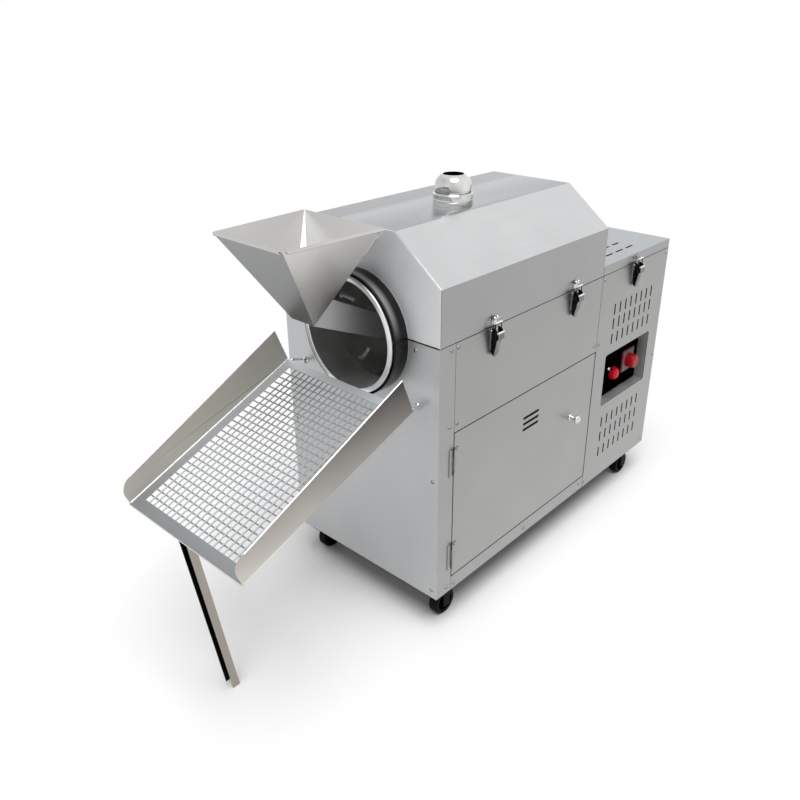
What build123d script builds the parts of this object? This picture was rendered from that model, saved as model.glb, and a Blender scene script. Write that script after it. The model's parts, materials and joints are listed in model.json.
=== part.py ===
import os
from math import atan2, cos, hypot, pi, radians, sin, tan

from build123d import *

os.makedirs("parts", exist_ok=True)

# Frame: +X runs from the drum mouth to the control cabinet, -Y is the operator's side, +Z is up.
# The origin is on the floor under the drum axis, half way along the whole length.

# Casing
sheet = 1.5
panel_gap = 1.0
seam_gap = 1.5
main_length = 610
control_length = 346
casing_width = 454
drum_offset = 15
floor_gap = 90
body_height = 600
tray_reach = 470
frame_tube = 25
post_width = 49
door_header_height = 401
rail_height = 38
lid_shoulder = 118
lid_rise = 208
lid_inset = 115
lid_front_gap = 1.5
control_lid_height = 24

# Drum and drive
drum_drop = 12
mouth_hole_radius = 130
mouth_radius = 115
mouth_stand = 41
mouth_collar_stand = 39
ring_radius = 122
ring_depth = 6
drum_radius = 155
drum_front = 34
drum_end_gap = 70
liner_radius = 184
liner_front = 24
liner_end_gap = 50
liner_hole_clearance = 3
roller_radius = 20
roller_width = 14
roller_angle = 55
roller_gap = 0.3
roller_axle_radius = 5
running_clearance = 0.06
shaft_radius = 15
shaft_hole_radius = 20
shaft_flange_radius = 50
shaft_flange_thickness = 8
bearing_size = 60
bearing_depth = 28
sprocket_radius = 24
sprocket_teeth = 12
sprocket_offset = 38
sprocket_width = 7
chain_centres = 220
chain_gap = 0.5
chain_thickness = 4
motor_shaft_radius = 10
gearbox_size = 90
gearbox_height = 110
motor_radius = 48
motor_length = 120

# Front pieces
hopper_rise = 16
hopper_back = 44
hopper_front = 265
hopper_back_half = 108
hopper_front_half = 97
chute_half = 32
chute_inside = 60
peg_radius = 5
peg_half_spacing = 45
peg_drop = 32
tray_upper_half = 187
tray_lower_half = 177.5
tray_length = 448.5
tray_slope = 21.8
tray_wall_upper = 81.5
tray_wall_lower = 46

# Casters
wheel_radius = 32.5
wheel_width = 24
caster_inset = 38
caster_trail = 25
caster_rear_inset = 66

# Places worked out from the sizes above
casing_length = main_length + control_length
front_x = (tray_reach - casing_length) / 2
main_end_x = front_x + main_length
rear_x = front_x + casing_length
near_y = drum_offset - casing_width / 2
far_y = drum_offset + casing_width / 2
base_z = floor_gap
seam_z = base_z + body_height
body_top_z = seam_z - seam_gap / 2
lid_base_z = seam_z + seam_gap / 2
axis_z = seam_z - drum_drop
shoulder_z = seam_z + lid_shoulder
lid_top_z = seam_z + lid_rise
hopper_rim_z = lid_top_z + hopper_rise
control_top_z = seam_z + control_lid_height
frame_top_z = body_top_z - sheet
post_seam_x = front_x + post_width
door_top_z = base_z + door_header_height
rail_top_z = base_z + rail_height
near_inside = near_y + sheet
far_inside = far_y - sheet
neck_radius = mouth_radius + sheet


def block(x_range, y_range, z_range, mode=Mode.ADD):
    centre = [(low + high) / 2 for low, high in (x_range, y_range, z_range)]
    length, width, height = [high - low for low, high in (x_range, y_range, z_range)]
    with Locations(tuple(centre)):
        Box(length, width, height, mode=mode)


def rod(start, end, radius, mode=Mode.ADD):
    path = Vector(*end) - Vector(*start)
    with Locations(Plane(origin=start, z_dir=path)):
        Cylinder(radius, path.length, align=(Align.CENTER, Align.CENTER, Align.MIN), mode=mode)


def yz_prism(points, x_start, x_end, mode=Mode.ADD):
    with BuildSketch(Plane.YZ.offset(x_start)) as profile:
        with BuildLine():
            Polyline(*points, close=True)
        make_face()
    extrude(profile.sketch, amount=x_end - x_start, mode=mode)


def xz_prism(points, y_start, y_end, mode=Mode.ADD):
    with BuildSketch(Plane.XZ.offset(-y_start)) as profile:
        with BuildLine():
            Polyline(*points, close=True)
        make_face()
    extrude(profile.sketch, amount=y_start - y_end, mode=mode)


def turned(points, mode=Mode.ADD):
    # Points are (distance along X, radius), turned about the drum axis.
    with BuildSketch(Plane(origin=(0, 0, axis_z), x_dir=(1, 0, 0), z_dir=(0, -1, 0))) as profile:
        with BuildLine():
            Polyline(*points, close=True)
        make_face()
    revolve(profile.sketch, axis=Axis((0, 0, axis_z), (1, 0, 0)), mode=mode)


def around_axis(radius, angle):
    return radius * cos(radians(angle)), axis_z + radius * sin(radians(angle))


def save(part, name):
    part.label = name
    export_step(part, f"parts/{name}.step")


# Welded frame of square tube behind the skins, with a plate for each swivel caster.
near_tube = (near_inside, near_inside + frame_tube)
far_tube = (far_inside - frame_tube, far_inside)
inner_y = (near_tube[1], far_tube[0])
full_x = (front_x + sheet, rear_x - sheet)
front_tube = (full_x[0], full_x[0] + frame_tube)
middle_tube = (main_end_x - sheet - frame_tube, main_end_x - sheet)
rear_tube = (full_x[1] - frame_tube, full_x[1])
low_tube = (base_z, base_z + frame_tube)
top_tube = (frame_top_z - frame_tube, frame_top_z)
header_tube = (door_top_z, door_top_z + frame_tube)
caster_plate_thickness = 4
caster_plate_half = 35
king_pin_radius = 5
swivel_places = [
    (front_x + caster_inset, near_y + caster_inset),
    (front_x + caster_inset, far_y - caster_inset),
]

with BuildPart() as base_frame:
    for tube_y in (near_tube, far_tube):
        block(full_x, tube_y, low_tube)
        block(full_x, tube_y, top_tube)
        for tube_x in (front_tube, middle_tube, rear_tube):
            block(tube_x, tube_y, (base_z, frame_top_z))
    for tube_x in (front_tube, middle_tube, rear_tube):
        block(tube_x, inner_y, low_tube)
    block((front_tube[1], middle_tube[0]), near_tube, header_tube)
    for swivel_x, swivel_y in swivel_places:
        block(
            (swivel_x - caster_plate_half, swivel_x + caster_plate_half),
            (swivel_y - caster_plate_half, swivel_y + caster_plate_half),
            (base_z - caster_plate_thickness, base_z),
        )
        rod(
            (swivel_x, swivel_y, base_z - caster_plate_thickness),
            (swivel_x, swivel_y, base_z),
            king_pin_radius + running_clearance,
            Mode.SUBTRACT,
        )
save(base_frame.part, "base_frame")

# Lower front plate with a folded corner strip on each side and its half of the mouth collar.
collar_radius = mouth_hole_radius + sheet
collar_x = (front_x - mouth_collar_stand, front_x)
collar_y = (-collar_radius, collar_radius)
collar_section = [
    (collar_x[0], mouth_hole_radius),
    (collar_x[0], collar_radius),
    (collar_x[1], collar_radius),
    (collar_x[1], mouth_hole_radius),
]
with BuildPart() as front_plate:
    block((front_x, front_x + sheet), (near_y, far_y), (base_z, body_top_z))
    for strip_y in ((near_y, near_inside), (far_inside, far_y)):
        block((front_x, post_seam_x - panel_gap / 2), strip_y, (base_z, body_top_z))
    rod((front_x, 0, axis_z), (front_x + sheet, 0, axis_z), mouth_hole_radius, Mode.SUBTRACT)
    turned(collar_section)
    block(collar_x, collar_y, (body_top_z, lid_top_z), Mode.SUBTRACT)
save(front_plate.part, "front_plate")

# Upper front plate, fixed, with the other half of the collar and the two pegs the hopper hangs on.
peg_z = hopper_rim_z - peg_drop
peg_past_hanger = 6
peg_tip_x = front_x - hopper_back - peg_past_hanger
lid_outline = [
    (near_y, lid_base_z),
    (near_y, shoulder_z),
    (near_y + lid_inset, lid_top_z),
    (far_y - lid_inset, lid_top_z),
    (far_y, shoulder_z),
    (far_y, lid_base_z),
]
with BuildPart() as front_upper_plate:
    yz_prism(lid_outline, front_x, front_x + sheet)
    rod((front_x, 0, axis_z), (front_x + sheet, 0, axis_z), mouth_hole_radius, Mode.SUBTRACT)
    turned(collar_section)
    block(collar_x, collar_y, (base_z, lid_base_z), Mode.SUBTRACT)
    for peg_y in (-peg_half_spacing, peg_half_spacing):
        rod((front_x, peg_y, peg_z), (peg_tip_x, peg_y, peg_z), peg_radius)
save(front_upper_plate.part, "front_upper_plate")

# Fixed skins of the operator's side.
panel_start_x = post_seam_x + panel_gap / 2
panel_end_x = main_end_x - panel_gap / 2
with BuildPart() as side_panel:
    block(
        (panel_start_x, panel_end_x),
        (near_y, near_inside),
        (door_top_z + panel_gap, body_top_z),
    )
save(side_panel.part, "side_panel")

with BuildPart() as side_rail:
    block((panel_start_x, panel_end_x), (near_y, near_inside), (base_z, rail_top_z - panel_gap))
save(side_rail.part, "side_rail")

# Far-side skin, one sheet along both compartments, with the cable gland's hole.
gland_inset = 75
gland_height = 60
gland_thread_radius = 8
vent_inset = 75
vent_pitch = 28
vent_base = 400
vent_row_pitch = 40
vent_size = (6, 30)
vent_rows = 3
vent_columns = 8
gland_x = rear_x - gland_inset
gland_z = base_z + gland_height
with BuildPart() as back_panel:
    block((panel_start_x, rear_x - sheet - panel_gap), (far_inside, far_y), (base_z, body_top_z))
    rod((gland_x, far_inside, gland_z), (gland_x, far_y, gland_z), gland_thread_radius, Mode.SUBTRACT)
    for vent_row in range(vent_rows):
        for vent_column in range(vent_columns):
            vent_x = main_end_x + vent_inset + vent_pitch * vent_column
            vent_z = base_z + vent_base + vent_row_pitch * vent_row
            block(
                (vent_x, vent_x + vent_size[0]),
                (far_inside, far_y),
                (vent_z, vent_z + vent_size[1]),
                Mode.SUBTRACT,
            )
save(back_panel.part, "back_panel")

# Wall between the roasting chamber and the control cabinet.
with BuildPart() as bulkhead:
    block((main_end_x - sheet, main_end_x), inner_y, (low_tube[1], frame_top_z))
    rod(
        (main_end_x - sheet, 0, axis_z),
        (main_end_x, 0, axis_z),
        shaft_hole_radius,
        Mode.SUBTRACT,
    )
save(bulkhead.part, "bulkhead")

# Heat liner: a half-round trough with end walls, stand-offs and the axles of the support rollers.
liner_front_x = front_x + liner_front
liner_back_x = main_end_x - liner_end_gap
liner_inside = liner_radius - sheet
liner_hole_radius = neck_radius + liner_hole_clearance
stand_off_radius = 6
stand_off_circle = 165
front_stand_offs = (45, 135, 215, 325)
rear_stand_offs = (200, 270, 340)
roller_circle = neck_radius + roller_gap + roller_radius
roller_places = [around_axis(roller_circle, -roller_angle), around_axis(roller_circle, roller_angle - 180)]
roller_start_x = front_x + (liner_front + sheet - roller_width) / 2
with BuildPart() as liner:
    turned(
        [
            (liner_front_x, liner_inside),
            (liner_back_x, liner_inside),
            (liner_back_x, liner_radius),
            (liner_front_x, liner_radius),
        ]
    )
    block(
        (liner_front_x, liner_back_x),
        (-liner_radius, liner_radius),
        (axis_z, axis_z + liner_radius),
        Mode.SUBTRACT,
    )
    turned(
        [
            (liner_front_x, liner_hole_radius),
            (liner_front_x + sheet, liner_hole_radius),
            (liner_front_x + sheet, liner_radius),
            (liner_front_x, liner_radius),
        ]
    )
    turned(
        [
            (liner_back_x - sheet, shaft_hole_radius),
            (liner_back_x, shaft_hole_radius),
            (liner_back_x, liner_radius),
            (liner_back_x - sheet, liner_radius),
        ]
    )
    for angle in front_stand_offs:
        stand_y, stand_z = around_axis(stand_off_circle, angle)
        rod((front_x + sheet, stand_y, stand_z), (liner_front_x, stand_y, stand_z), stand_off_radius)
    for angle in rear_stand_offs:
        stand_y, stand_z = around_axis(stand_off_circle, angle)
        rod((liner_back_x, stand_y, stand_z), (main_end_x - sheet, stand_y, stand_z), stand_off_radius)
    for roller_y, roller_z in roller_places:
        rod((liner_front_x, roller_y, roller_z), (roller_start_x, roller_y, roller_z), roller_axle_radius)
save(liner.part, "liner")


def support_roller(place):
    with BuildPart() as roller:
        rod((roller_start_x, *place), (roller_start_x + roller_width, *place), roller_radius)
        rod(
            (roller_start_x, *place),
            (roller_start_x + roller_width, *place),
            roller_axle_radius + running_clearance,
            Mode.SUBTRACT,
        )
    return roller.part


for roller_name, roller_place in (("roller_far", roller_places[0]), ("roller_near", roller_places[1])):
    save(support_roller(roller_place), roller_name)

# Drum: neck, front wall, shell and rear wall in one turned sheet.
neck_x = front_x - mouth_stand
drum_front_x = front_x + drum_front
drum_back_x = main_end_x - drum_end_gap
drum_inside = drum_radius - sheet
with BuildPart() as drum_shell:
    turned(
        [
            (neck_x, mouth_radius),
            (neck_x, neck_radius),
            (drum_front_x, neck_radius),
            (drum_front_x, drum_radius),
            (drum_back_x, drum_radius),
            (drum_back_x, 0),
            (drum_back_x - sheet, 0),
            (drum_back_x - sheet, drum_inside),
            (drum_front_x + sheet, drum_inside),
            (drum_front_x + sheet, mouth_radius),
        ]
    )
save(drum_shell.part, "drum_shell")

# Bright ring on the end of the neck, turning inside the collar.
with BuildPart() as mouth_ring:
    turned(
        [
            (neck_x, neck_radius),
            (neck_x, ring_radius),
            (neck_x + ring_depth, ring_radius),
            (neck_x + ring_depth, neck_radius),
        ]
    )
save(mouth_ring.part, "mouth_ring")

# Lifting flights along the inside of the shell.
flight_count = 3
flight_start_angle = 37
flight_height = 34
flight_thickness = 2
flight_gap = 0.5
flight_margin = 12
with BuildPart() as drum_flights:
    for flight in range(flight_count):
        flight_angle = flight_start_angle + 360 / flight_count * flight
        flight_y, flight_z = around_axis(drum_inside - flight_gap - flight_height / 2, flight_angle)
        flight_plane = Plane(
            origin=((drum_front_x + drum_back_x) / 2, flight_y, flight_z),
            x_dir=(1, 0, 0),
            z_dir=(0, cos(radians(flight_angle)), sin(radians(flight_angle))),
        )
        with Locations(flight_plane):
            Box(drum_back_x - drum_front_x - 2 * (sheet + flight_margin), flight_thickness, flight_height)
save(drum_flights.part, "drum_flights")

# Mixing bolts with wing nuts, in a ring near the mouth.
bolt_count = 6
bolt_start_angle = 7
bolt_offset = 88
bolt_radius = 4
bolt_tip = 112
wing_size = (20, 6, 8)
bolt_seat = drum_inside - flight_gap
with BuildPart() as drum_bolts:
    for bolt in range(bolt_count):
        bolt_angle = bolt_start_angle + 360 / bolt_count * bolt
        outward = (0, cos(radians(bolt_angle)), sin(radians(bolt_angle)))
        tip_y, tip_z = around_axis(bolt_tip, bolt_angle)
        seat_y, seat_z = around_axis(bolt_seat, bolt_angle)
        wing_y, wing_z = around_axis(bolt_seat - wing_size[2], bolt_angle)
        rod((front_x + bolt_offset, tip_y, tip_z), (front_x + bolt_offset, seat_y, seat_z), bolt_radius)
        wing_plane = Plane(origin=(front_x + bolt_offset, wing_y, wing_z), x_dir=(1, 0, 0), z_dir=outward)
        with Locations(wing_plane):
            Box(*wing_size)
save(drum_bolts.part, "drum_bolts")

# Drive: shaft, bearing, two sprockets, chain and gearmotor inside the control cabinet.
sprocket_x = main_end_x + sprocket_offset
sprocket_end_x = sprocket_x + sprocket_width
shaft_tail = 8
motor_nose = 15
motor_shaft_tail = 4
shaft_end_x = sprocket_end_x + shaft_tail
motor_z = axis_z - chain_centres
gearbox_x = sprocket_end_x + motor_nose
motor_shaft_start_x = sprocket_x - motor_shaft_tail
motor_shaft_bury = 20
with BuildPart() as drum_shaft:
    rod((drum_back_x, 0, axis_z), (drum_back_x + shaft_flange_thickness, 0, axis_z), shaft_flange_radius)
    rod((drum_back_x, 0, axis_z), (shaft_end_x, 0, axis_z), shaft_radius)
save(drum_shaft.part, "drum_shaft")

with BuildPart() as rear_bearing:
    block(
        (main_end_x, main_end_x + bearing_depth),
        (-bearing_size / 2, bearing_size / 2),
        (axis_z - bearing_size / 2, axis_z + bearing_size / 2),
    )
    rod(
        (main_end_x, 0, axis_z),
        (main_end_x + bearing_depth, 0, axis_z),
        shaft_radius + running_clearance,
        Mode.SUBTRACT,
    )
save(rear_bearing.part, "rear_bearing")

roller_seat = 3.5
roller_rise = 1


def sprocket_wheel(height):
    rod((sprocket_x, 0, height), (sprocket_end_x, 0, height), sprocket_radius)
    for tooth in range(sprocket_teeth):
        tooth_angle = radians(360 / sprocket_teeth * tooth)
        seat_y = (sprocket_radius + roller_rise) * cos(tooth_angle)
        seat_z = height + (sprocket_radius + roller_rise) * sin(tooth_angle)
        rod((sprocket_x, seat_y, seat_z), (sprocket_end_x, seat_y, seat_z), roller_seat, Mode.SUBTRACT)


with BuildPart() as drum_sprocket:
    sprocket_wheel(axis_z)
    rod((sprocket_x, 0, axis_z), (sprocket_end_x, 0, axis_z), shaft_radius, Mode.SUBTRACT)
save(drum_sprocket.part, "drum_sprocket")

with BuildPart() as motor_sprocket:
    sprocket_wheel(motor_z)
    rod((motor_shaft_start_x, 0, motor_z), (gearbox_x + motor_shaft_bury, 0, motor_z), motor_shaft_radius)
save(motor_sprocket.part, "motor_sprocket")

chain_inside = sprocket_radius + chain_gap
chain_margin = 1
with BuildPart() as drive_chain:
    for loop_radius, loop_mode in ((chain_inside + chain_thickness, Mode.ADD), (chain_inside, Mode.SUBTRACT)):
        for chain_z in (axis_z, motor_z):
            rod(
                (sprocket_x + chain_margin, 0, chain_z),
                (sprocket_end_x - chain_margin, 0, chain_z),
                loop_radius,
                loop_mode,
            )
        block(
            (sprocket_x + chain_margin, sprocket_end_x - chain_margin),
            (-loop_radius, loop_radius),
            (motor_z, axis_z),
            loop_mode,
        )
save(drive_chain.part, "drive_chain")

motor_shelf = 8
bore_spare = 2
gearbox_end_x = gearbox_x + gearbox_size
gearbox_base_z = motor_z - gearbox_height / 2
with BuildPart() as gearmotor:
    block(
        (gearbox_x, gearbox_end_x),
        (-gearbox_size / 2, gearbox_size / 2),
        (gearbox_base_z, motor_z + gearbox_height / 2),
    )
    rod((gearbox_end_x, 0, motor_z), (gearbox_end_x + motor_length, 0, motor_z), motor_radius)
    block(
        (main_end_x, gearbox_end_x),
        (-gearbox_size / 2, gearbox_size / 2),
        (gearbox_base_z - motor_shelf, gearbox_base_z),
    )
    rod(
        (gearbox_x, 0, motor_z),
        (gearbox_x + motor_shaft_bury + bore_spare, 0, motor_z),
        motor_shaft_radius + running_clearance,
        Mode.SUBTRACT,
    )
save(gearmotor.part, "gearmotor")

# Rod heaters under the drum, standing on the liner's rear wall.
heater_radius = 5
heater_circle = 169
heater_front = 60
heater_angles = (-40, -60, -80, -100, -120, -140)
with BuildPart() as heating_elements:
    for heater_angle in heater_angles:
        heater_y, heater_z = around_axis(heater_circle, heater_angle)
        rod(
            (front_x + heater_front, heater_y, heater_z),
            (liner_back_x - sheet, heater_y, heater_z),
            heater_radius,
        )
save(heating_elements.part, "heating_elements")

# Control cabinet: operator's side and end wall folded from one sheet, with louvres and a recess.
control_start_x = main_end_x + panel_gap / 2
recess_x = main_end_x + 56
recess_z = base_z + 226
recess_width = 238
recess_height = 147
recess_depth = 30
recess_corner = 8
louvre_width = 6
louvre_height = 30
louvre_pitch = 28
louvre_columns = 8
louvre_upper_x = main_end_x + 77
louvre_lower_x = main_end_x + 72
louvre_upper_rows = (base_z + 495, base_z + 456, base_z + 414)
louvre_lower_rows = (base_z + 174, base_z + 129, base_z + 82)
recess_end_x = recess_x + recess_width
recess_top_z = recess_z + recess_height
with BuildPart() as control_shell:
    block((control_start_x, rear_x), (near_y, near_inside), (base_z, body_top_z))
    block((rear_x - sheet, rear_x), (near_y, far_y), (base_z, body_top_z))
    with BuildSketch(Plane.XZ.offset(-near_y)):
        with Locations(((recess_x + recess_end_x) / 2, (recess_z + recess_top_z) / 2)):
            RectangleRounded(recess_width, recess_height, recess_corner)
        for row_x, rows in ((louvre_upper_x, louvre_upper_rows), (louvre_lower_x, louvre_lower_rows)):
            for row_z in rows:
                for column in range(louvre_columns):
                    with Locations((row_x + louvre_pitch * column, row_z)):
                        SlotOverall(louvre_height, louvre_width, rotation=90)
    extrude(amount=-sheet, mode=Mode.SUBTRACT)
save(control_shell.part, "control_shell")

recess_floor_y = near_y + recess_depth
with BuildPart() as control_recess:
    block(
        (recess_x - sheet, recess_end_x + sheet),
        (near_inside, recess_floor_y + sheet),
        (recess_z - sheet, recess_top_z + sheet),
    )
    block((recess_x, recess_end_x), (near_inside, recess_floor_y), (recess_z, recess_top_z), Mode.SUBTRACT)
save(control_recess.part, "control_recess")

# Black control plate in the recess, with its switch plate and three controls.
plate_width = 178
plate_height = 117
plate_thickness = 2
plate_margin = 1
plate_face_y = recess_floor_y - plate_thickness
plate_end_x = recess_end_x - plate_margin
plate_base_z = recess_z + plate_margin
switch_inset = 58
switch_height = 72
switch_size = 64
switch_thickness = 5
stem_radius = 3
stem_bury = 4
switch_x = plate_end_x - switch_inset
switch_z = recess_z + switch_height
switch_face_y = plate_face_y - switch_thickness
selector_spacing = 78
selector_height = 57
toggle_spacing = 111
toggle_height = 81
selector_x = switch_x - selector_spacing
selector_z = recess_z + selector_height
toggle_x = switch_x - toggle_spacing
toggle_z = recess_z + toggle_height
knob_gap = 0.4
with BuildPart() as control_plate:
    block(
        (plate_end_x - plate_width, plate_end_x),
        (plate_face_y, recess_floor_y),
        (plate_base_z, plate_base_z + plate_height),
    )
    rod(
        (selector_x, plate_face_y, selector_z),
        (selector_x, recess_floor_y, selector_z),
        stem_radius + running_clearance,
        Mode.SUBTRACT,
    )
save(control_plate.part, "control_plate")

with BuildPart() as switch_plate:
    block(
        (switch_x - switch_size / 2, switch_x + switch_size / 2),
        (switch_face_y, plate_face_y),
        (switch_z - switch_size / 2, switch_z + switch_size / 2),
    )
    rod(
        (switch_x, switch_face_y, switch_z),
        (switch_x, plate_face_y, switch_z),
        stem_radius + running_clearance,
        Mode.SUBTRACT,
    )
save(switch_plate.part, "switch_plate")


def turning_knob(place_x, face_y, place_z, radius, skirt, height, grip, bury):
    with BuildPart() as knob:
        rod((place_x, face_y - knob_gap, place_z), (place_x, face_y - skirt, place_z), radius)
        block(
            (place_x - grip / 2, place_x + grip / 2),
            (face_y - height, face_y - skirt),
            (place_z - radius, place_z + radius),
        )
        rod((place_x, face_y + bury, place_z), (place_x, face_y - skirt, place_z), stem_radius)
    return knob.part


# Each knob: radius, skirt height, whole height, grip width and stem depth.
switch_knob_sizes = (21, 8, 24, 14, stem_bury)
selector_knob_sizes = (18, 7, 18, 9, plate_thickness - knob_gap)
save(turning_knob(switch_x, switch_face_y, switch_z, *switch_knob_sizes), "switch_knob")
save(turning_knob(selector_x, plate_face_y, selector_z, *selector_knob_sizes), "selector_knob")

toggle_ball = 5
toggle_stick = 2.5
toggle_length = 15
toggle_y = plate_face_y - toggle_ball - knob_gap
with BuildPart() as toggle_lever:
    with Locations((toggle_x, toggle_y, toggle_z)):
        Sphere(toggle_ball)
    rod((toggle_x, toggle_y, toggle_z), (toggle_x, toggle_y - toggle_length, toggle_z), toggle_stick)
save(toggle_lever.part, "toggle_lever")

# Butt hinges, all of one size: the fixed halves carry the pins.
hinge_length = 65
hinge_leaf = 15
hinge_thickness = 2
hinge_stand = 4.5
knuckle_radius = 4
knuckle_length = 25
knuckle_gap = 0.3
hinge_pin_radius = 2
leaf_gap = 0.7
leaf_start = knuckle_radius + leaf_gap
door_hinge_heights = (base_z + 333, base_z + 94)
lid_hinge_inset = 120
control_hinge_inset = 70
door_axis_y = near_y - hinge_stand
lid_axis_y = far_y + hinge_stand
lid_hinge_places = (front_x + lid_hinge_inset, main_end_x - lid_hinge_inset)
control_hinge_places = (main_end_x + control_hinge_inset, rear_x - control_hinge_inset)


def door_hinge_plane(height):
    return Plane(origin=(post_seam_x, door_axis_y, height), x_dir=(1, 0, 0), z_dir=(0, 0, -1))


def lid_hinge_plane(along):
    return Plane(origin=(along, lid_axis_y, seam_z), x_dir=(0, 0, 1), z_dir=(-1, 0, 0))


def hinge_bar(side, low, high, inner):
    with Locations(
        (side * (inner + hinge_leaf) / 2, hinge_thickness / 2 - hinge_stand, (low + high) / 2)
    ):
        Box(hinge_leaf - inner, hinge_thickness, high - low)


def hinge_barrel(low, high, radius, mode=Mode.ADD):
    with Locations((0, 0, low)):
        Cylinder(radius, high - low, align=(Align.CENTER, Align.CENTER, Align.MIN), mode=mode)


def fixed_hinge(plane):
    with Locations(plane):
        hinge_bar(-1, -hinge_length / 2, hinge_length / 2, leaf_start)
        hinge_bar(-1, -knuckle_length / 2, knuckle_length / 2, 0)
        hinge_barrel(-knuckle_length / 2, knuckle_length / 2, knuckle_radius)
        hinge_barrel(-hinge_length / 2, hinge_length / 2, hinge_pin_radius)


def moving_hinge(plane):
    knuckle_edge = knuckle_length / 2 + knuckle_gap
    with Locations(plane):
        hinge_bar(1, -hinge_length / 2, hinge_length / 2, leaf_start)
        for low, high in ((-hinge_length / 2, -knuckle_edge), (knuckle_edge, hinge_length / 2)):
            hinge_bar(1, low, high, 0)
            hinge_barrel(low, high, knuckle_radius)
            hinge_barrel(low, high, hinge_pin_radius + running_clearance, Mode.SUBTRACT)


with BuildPart() as hinge_bases:
    for hinge_height in door_hinge_heights:
        fixed_hinge(door_hinge_plane(hinge_height))
    for hinge_x in (*lid_hinge_places, *control_hinge_places):
        fixed_hinge(lid_hinge_plane(hinge_x))
save(hinge_bases.part, "hinge_bases")

with BuildPart() as lid_hinge_leaves:
    for hinge_x in lid_hinge_places:
        moving_hinge(lid_hinge_plane(hinge_x))
save(lid_hinge_leaves.part, "lid_hinge_leaves")

with BuildPart() as door_hinge_leaves:
    for hinge_height in door_hinge_heights:
        moving_hinge(door_hinge_plane(hinge_height))
save(door_hinge_leaves.part, "door_hinge_leaves")

# Lid: a folded roof with its own rear wall, open at the front behind the fixed upper plate.
chimney_x = front_x + 253
chimney_y = near_y + 182
collar_radius = 43.4
collar_height = 26.7
flue_hole_radius = 38
shaft_notch_radius = 40
lid_start_x = front_x + sheet + lid_front_gap
lid_end_x = main_end_x - panel_gap / 2
slope_angle = atan2(lid_rise - lid_shoulder, lid_inset)
slope_shift = sheet * tan((pi / 2 - slope_angle) / 2)
top_shift = sheet * tan(slope_angle / 2)
lid_inner_outline = [
    (near_inside, lid_base_z),
    (near_inside, shoulder_z - slope_shift),
    (near_y + lid_inset + top_shift, lid_top_z - sheet),
    (far_y - lid_inset - top_shift, lid_top_z - sheet),
    (far_inside, shoulder_z - slope_shift),
    (far_inside, lid_base_z),
]
with BuildPart() as lid:
    yz_prism(lid_outline, lid_start_x, lid_end_x)
    yz_prism(lid_inner_outline, lid_start_x, lid_end_x - sheet, Mode.SUBTRACT)
    rod((lid_end_x - sheet, 0, axis_z), (lid_end_x, 0, axis_z), shaft_notch_radius, Mode.SUBTRACT)
    rod(
        (chimney_x, chimney_y, lid_top_z - sheet),
        (chimney_x, chimney_y, lid_top_z),
        flue_hole_radius,
        Mode.SUBTRACT,
    )
save(lid.part, "lid")

with BuildPart() as chimney_collar:
    rod((chimney_x, chimney_y, lid_top_z), (chimney_x, chimney_y, lid_top_z + collar_height), collar_radius)
    rod(
        (chimney_x, chimney_y, lid_top_z),
        (chimney_x, chimney_y, lid_top_z + collar_height),
        collar_radius - sheet,
        Mode.SUBTRACT,
    )
save(chimney_collar.part, "chimney_collar")

# Spun cap standing in the collar: points are (radius, height above the lid).
cap_outline = [
    (35, 6),
    (36.5, 6),
    (36.5, 30.5),
    (39, 30.5),
    (39, 45),
    (34.5, 56),
    (22.6, 63),
    (22.6, 61.3),
    (33.5, 54.8),
    (37.5, 44.7),
    (37.5, 32),
    (35, 32),
]
with BuildPart() as vent_cap:
    with BuildSketch(Plane(origin=(chimney_x, chimney_y, lid_top_z), x_dir=(1, 0, 0), z_dir=(0, -1, 0))):
        with BuildLine():
            Polyline(*cap_outline, close=True)
        make_face()
    revolve(axis=Axis((chimney_x, chimney_y, lid_top_z), (0, 0, 1)))
save(vent_cap.part, "vent_cap")

# Toggle latches over the lid seam: positions along X, lever pivot below the seam.
latch_places = {
    "front": front_x + 171,
    "rear": main_end_x - 130,
    "control": main_end_x + 161,
}
latch_pivot_stand = 8
latch_pivot_z = seam_z - 27
lever_half = 7
lever_length = 41
ear_gap = 0.4
ear_thickness = 2
ear_half_height = 4
ear_reach = 11
latch_pin_radius = 2
bail_wire = 1.5
bail_stand = 12.5
bail_drop = 6
bail_half = 11.2
bail_top_z = seam_z + 12
latch_plate_half = 12
latch_plate_drop = 22
latch_plate_rise = 24
keeper_half = 8
keeper_low = 4
keeper_high = 22
keeper_reach = 8
keeper_lip = 2
keeper_shelf_low = 6
keeper_shelf_high = 9
keeper_lip_high = 15
latch_pivot_y = near_y - latch_pivot_stand
bail_y = near_y - bail_stand
bail_z = latch_pivot_z - bail_drop
ear_outer = lever_half + ear_gap + ear_thickness


def latch_base(along):
    block(
        (along - latch_plate_half, along + latch_plate_half),
        (near_y - sheet, near_y),
        (latch_pivot_z - latch_plate_drop, latch_pivot_z + latch_plate_rise),
    )
    for side in (-1, 1):
        ear_x = sorted((along + side * (lever_half + ear_gap), along + side * ear_outer))
        block(
            tuple(ear_x),
            (near_y - ear_reach, near_y - sheet),
            (latch_pivot_z - ear_half_height, latch_pivot_z + ear_half_height),
        )
    rod(
        (along - ear_outer, latch_pivot_y, latch_pivot_z),
        (along + ear_outer, latch_pivot_y, latch_pivot_z),
        latch_pin_radius,
    )


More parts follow.
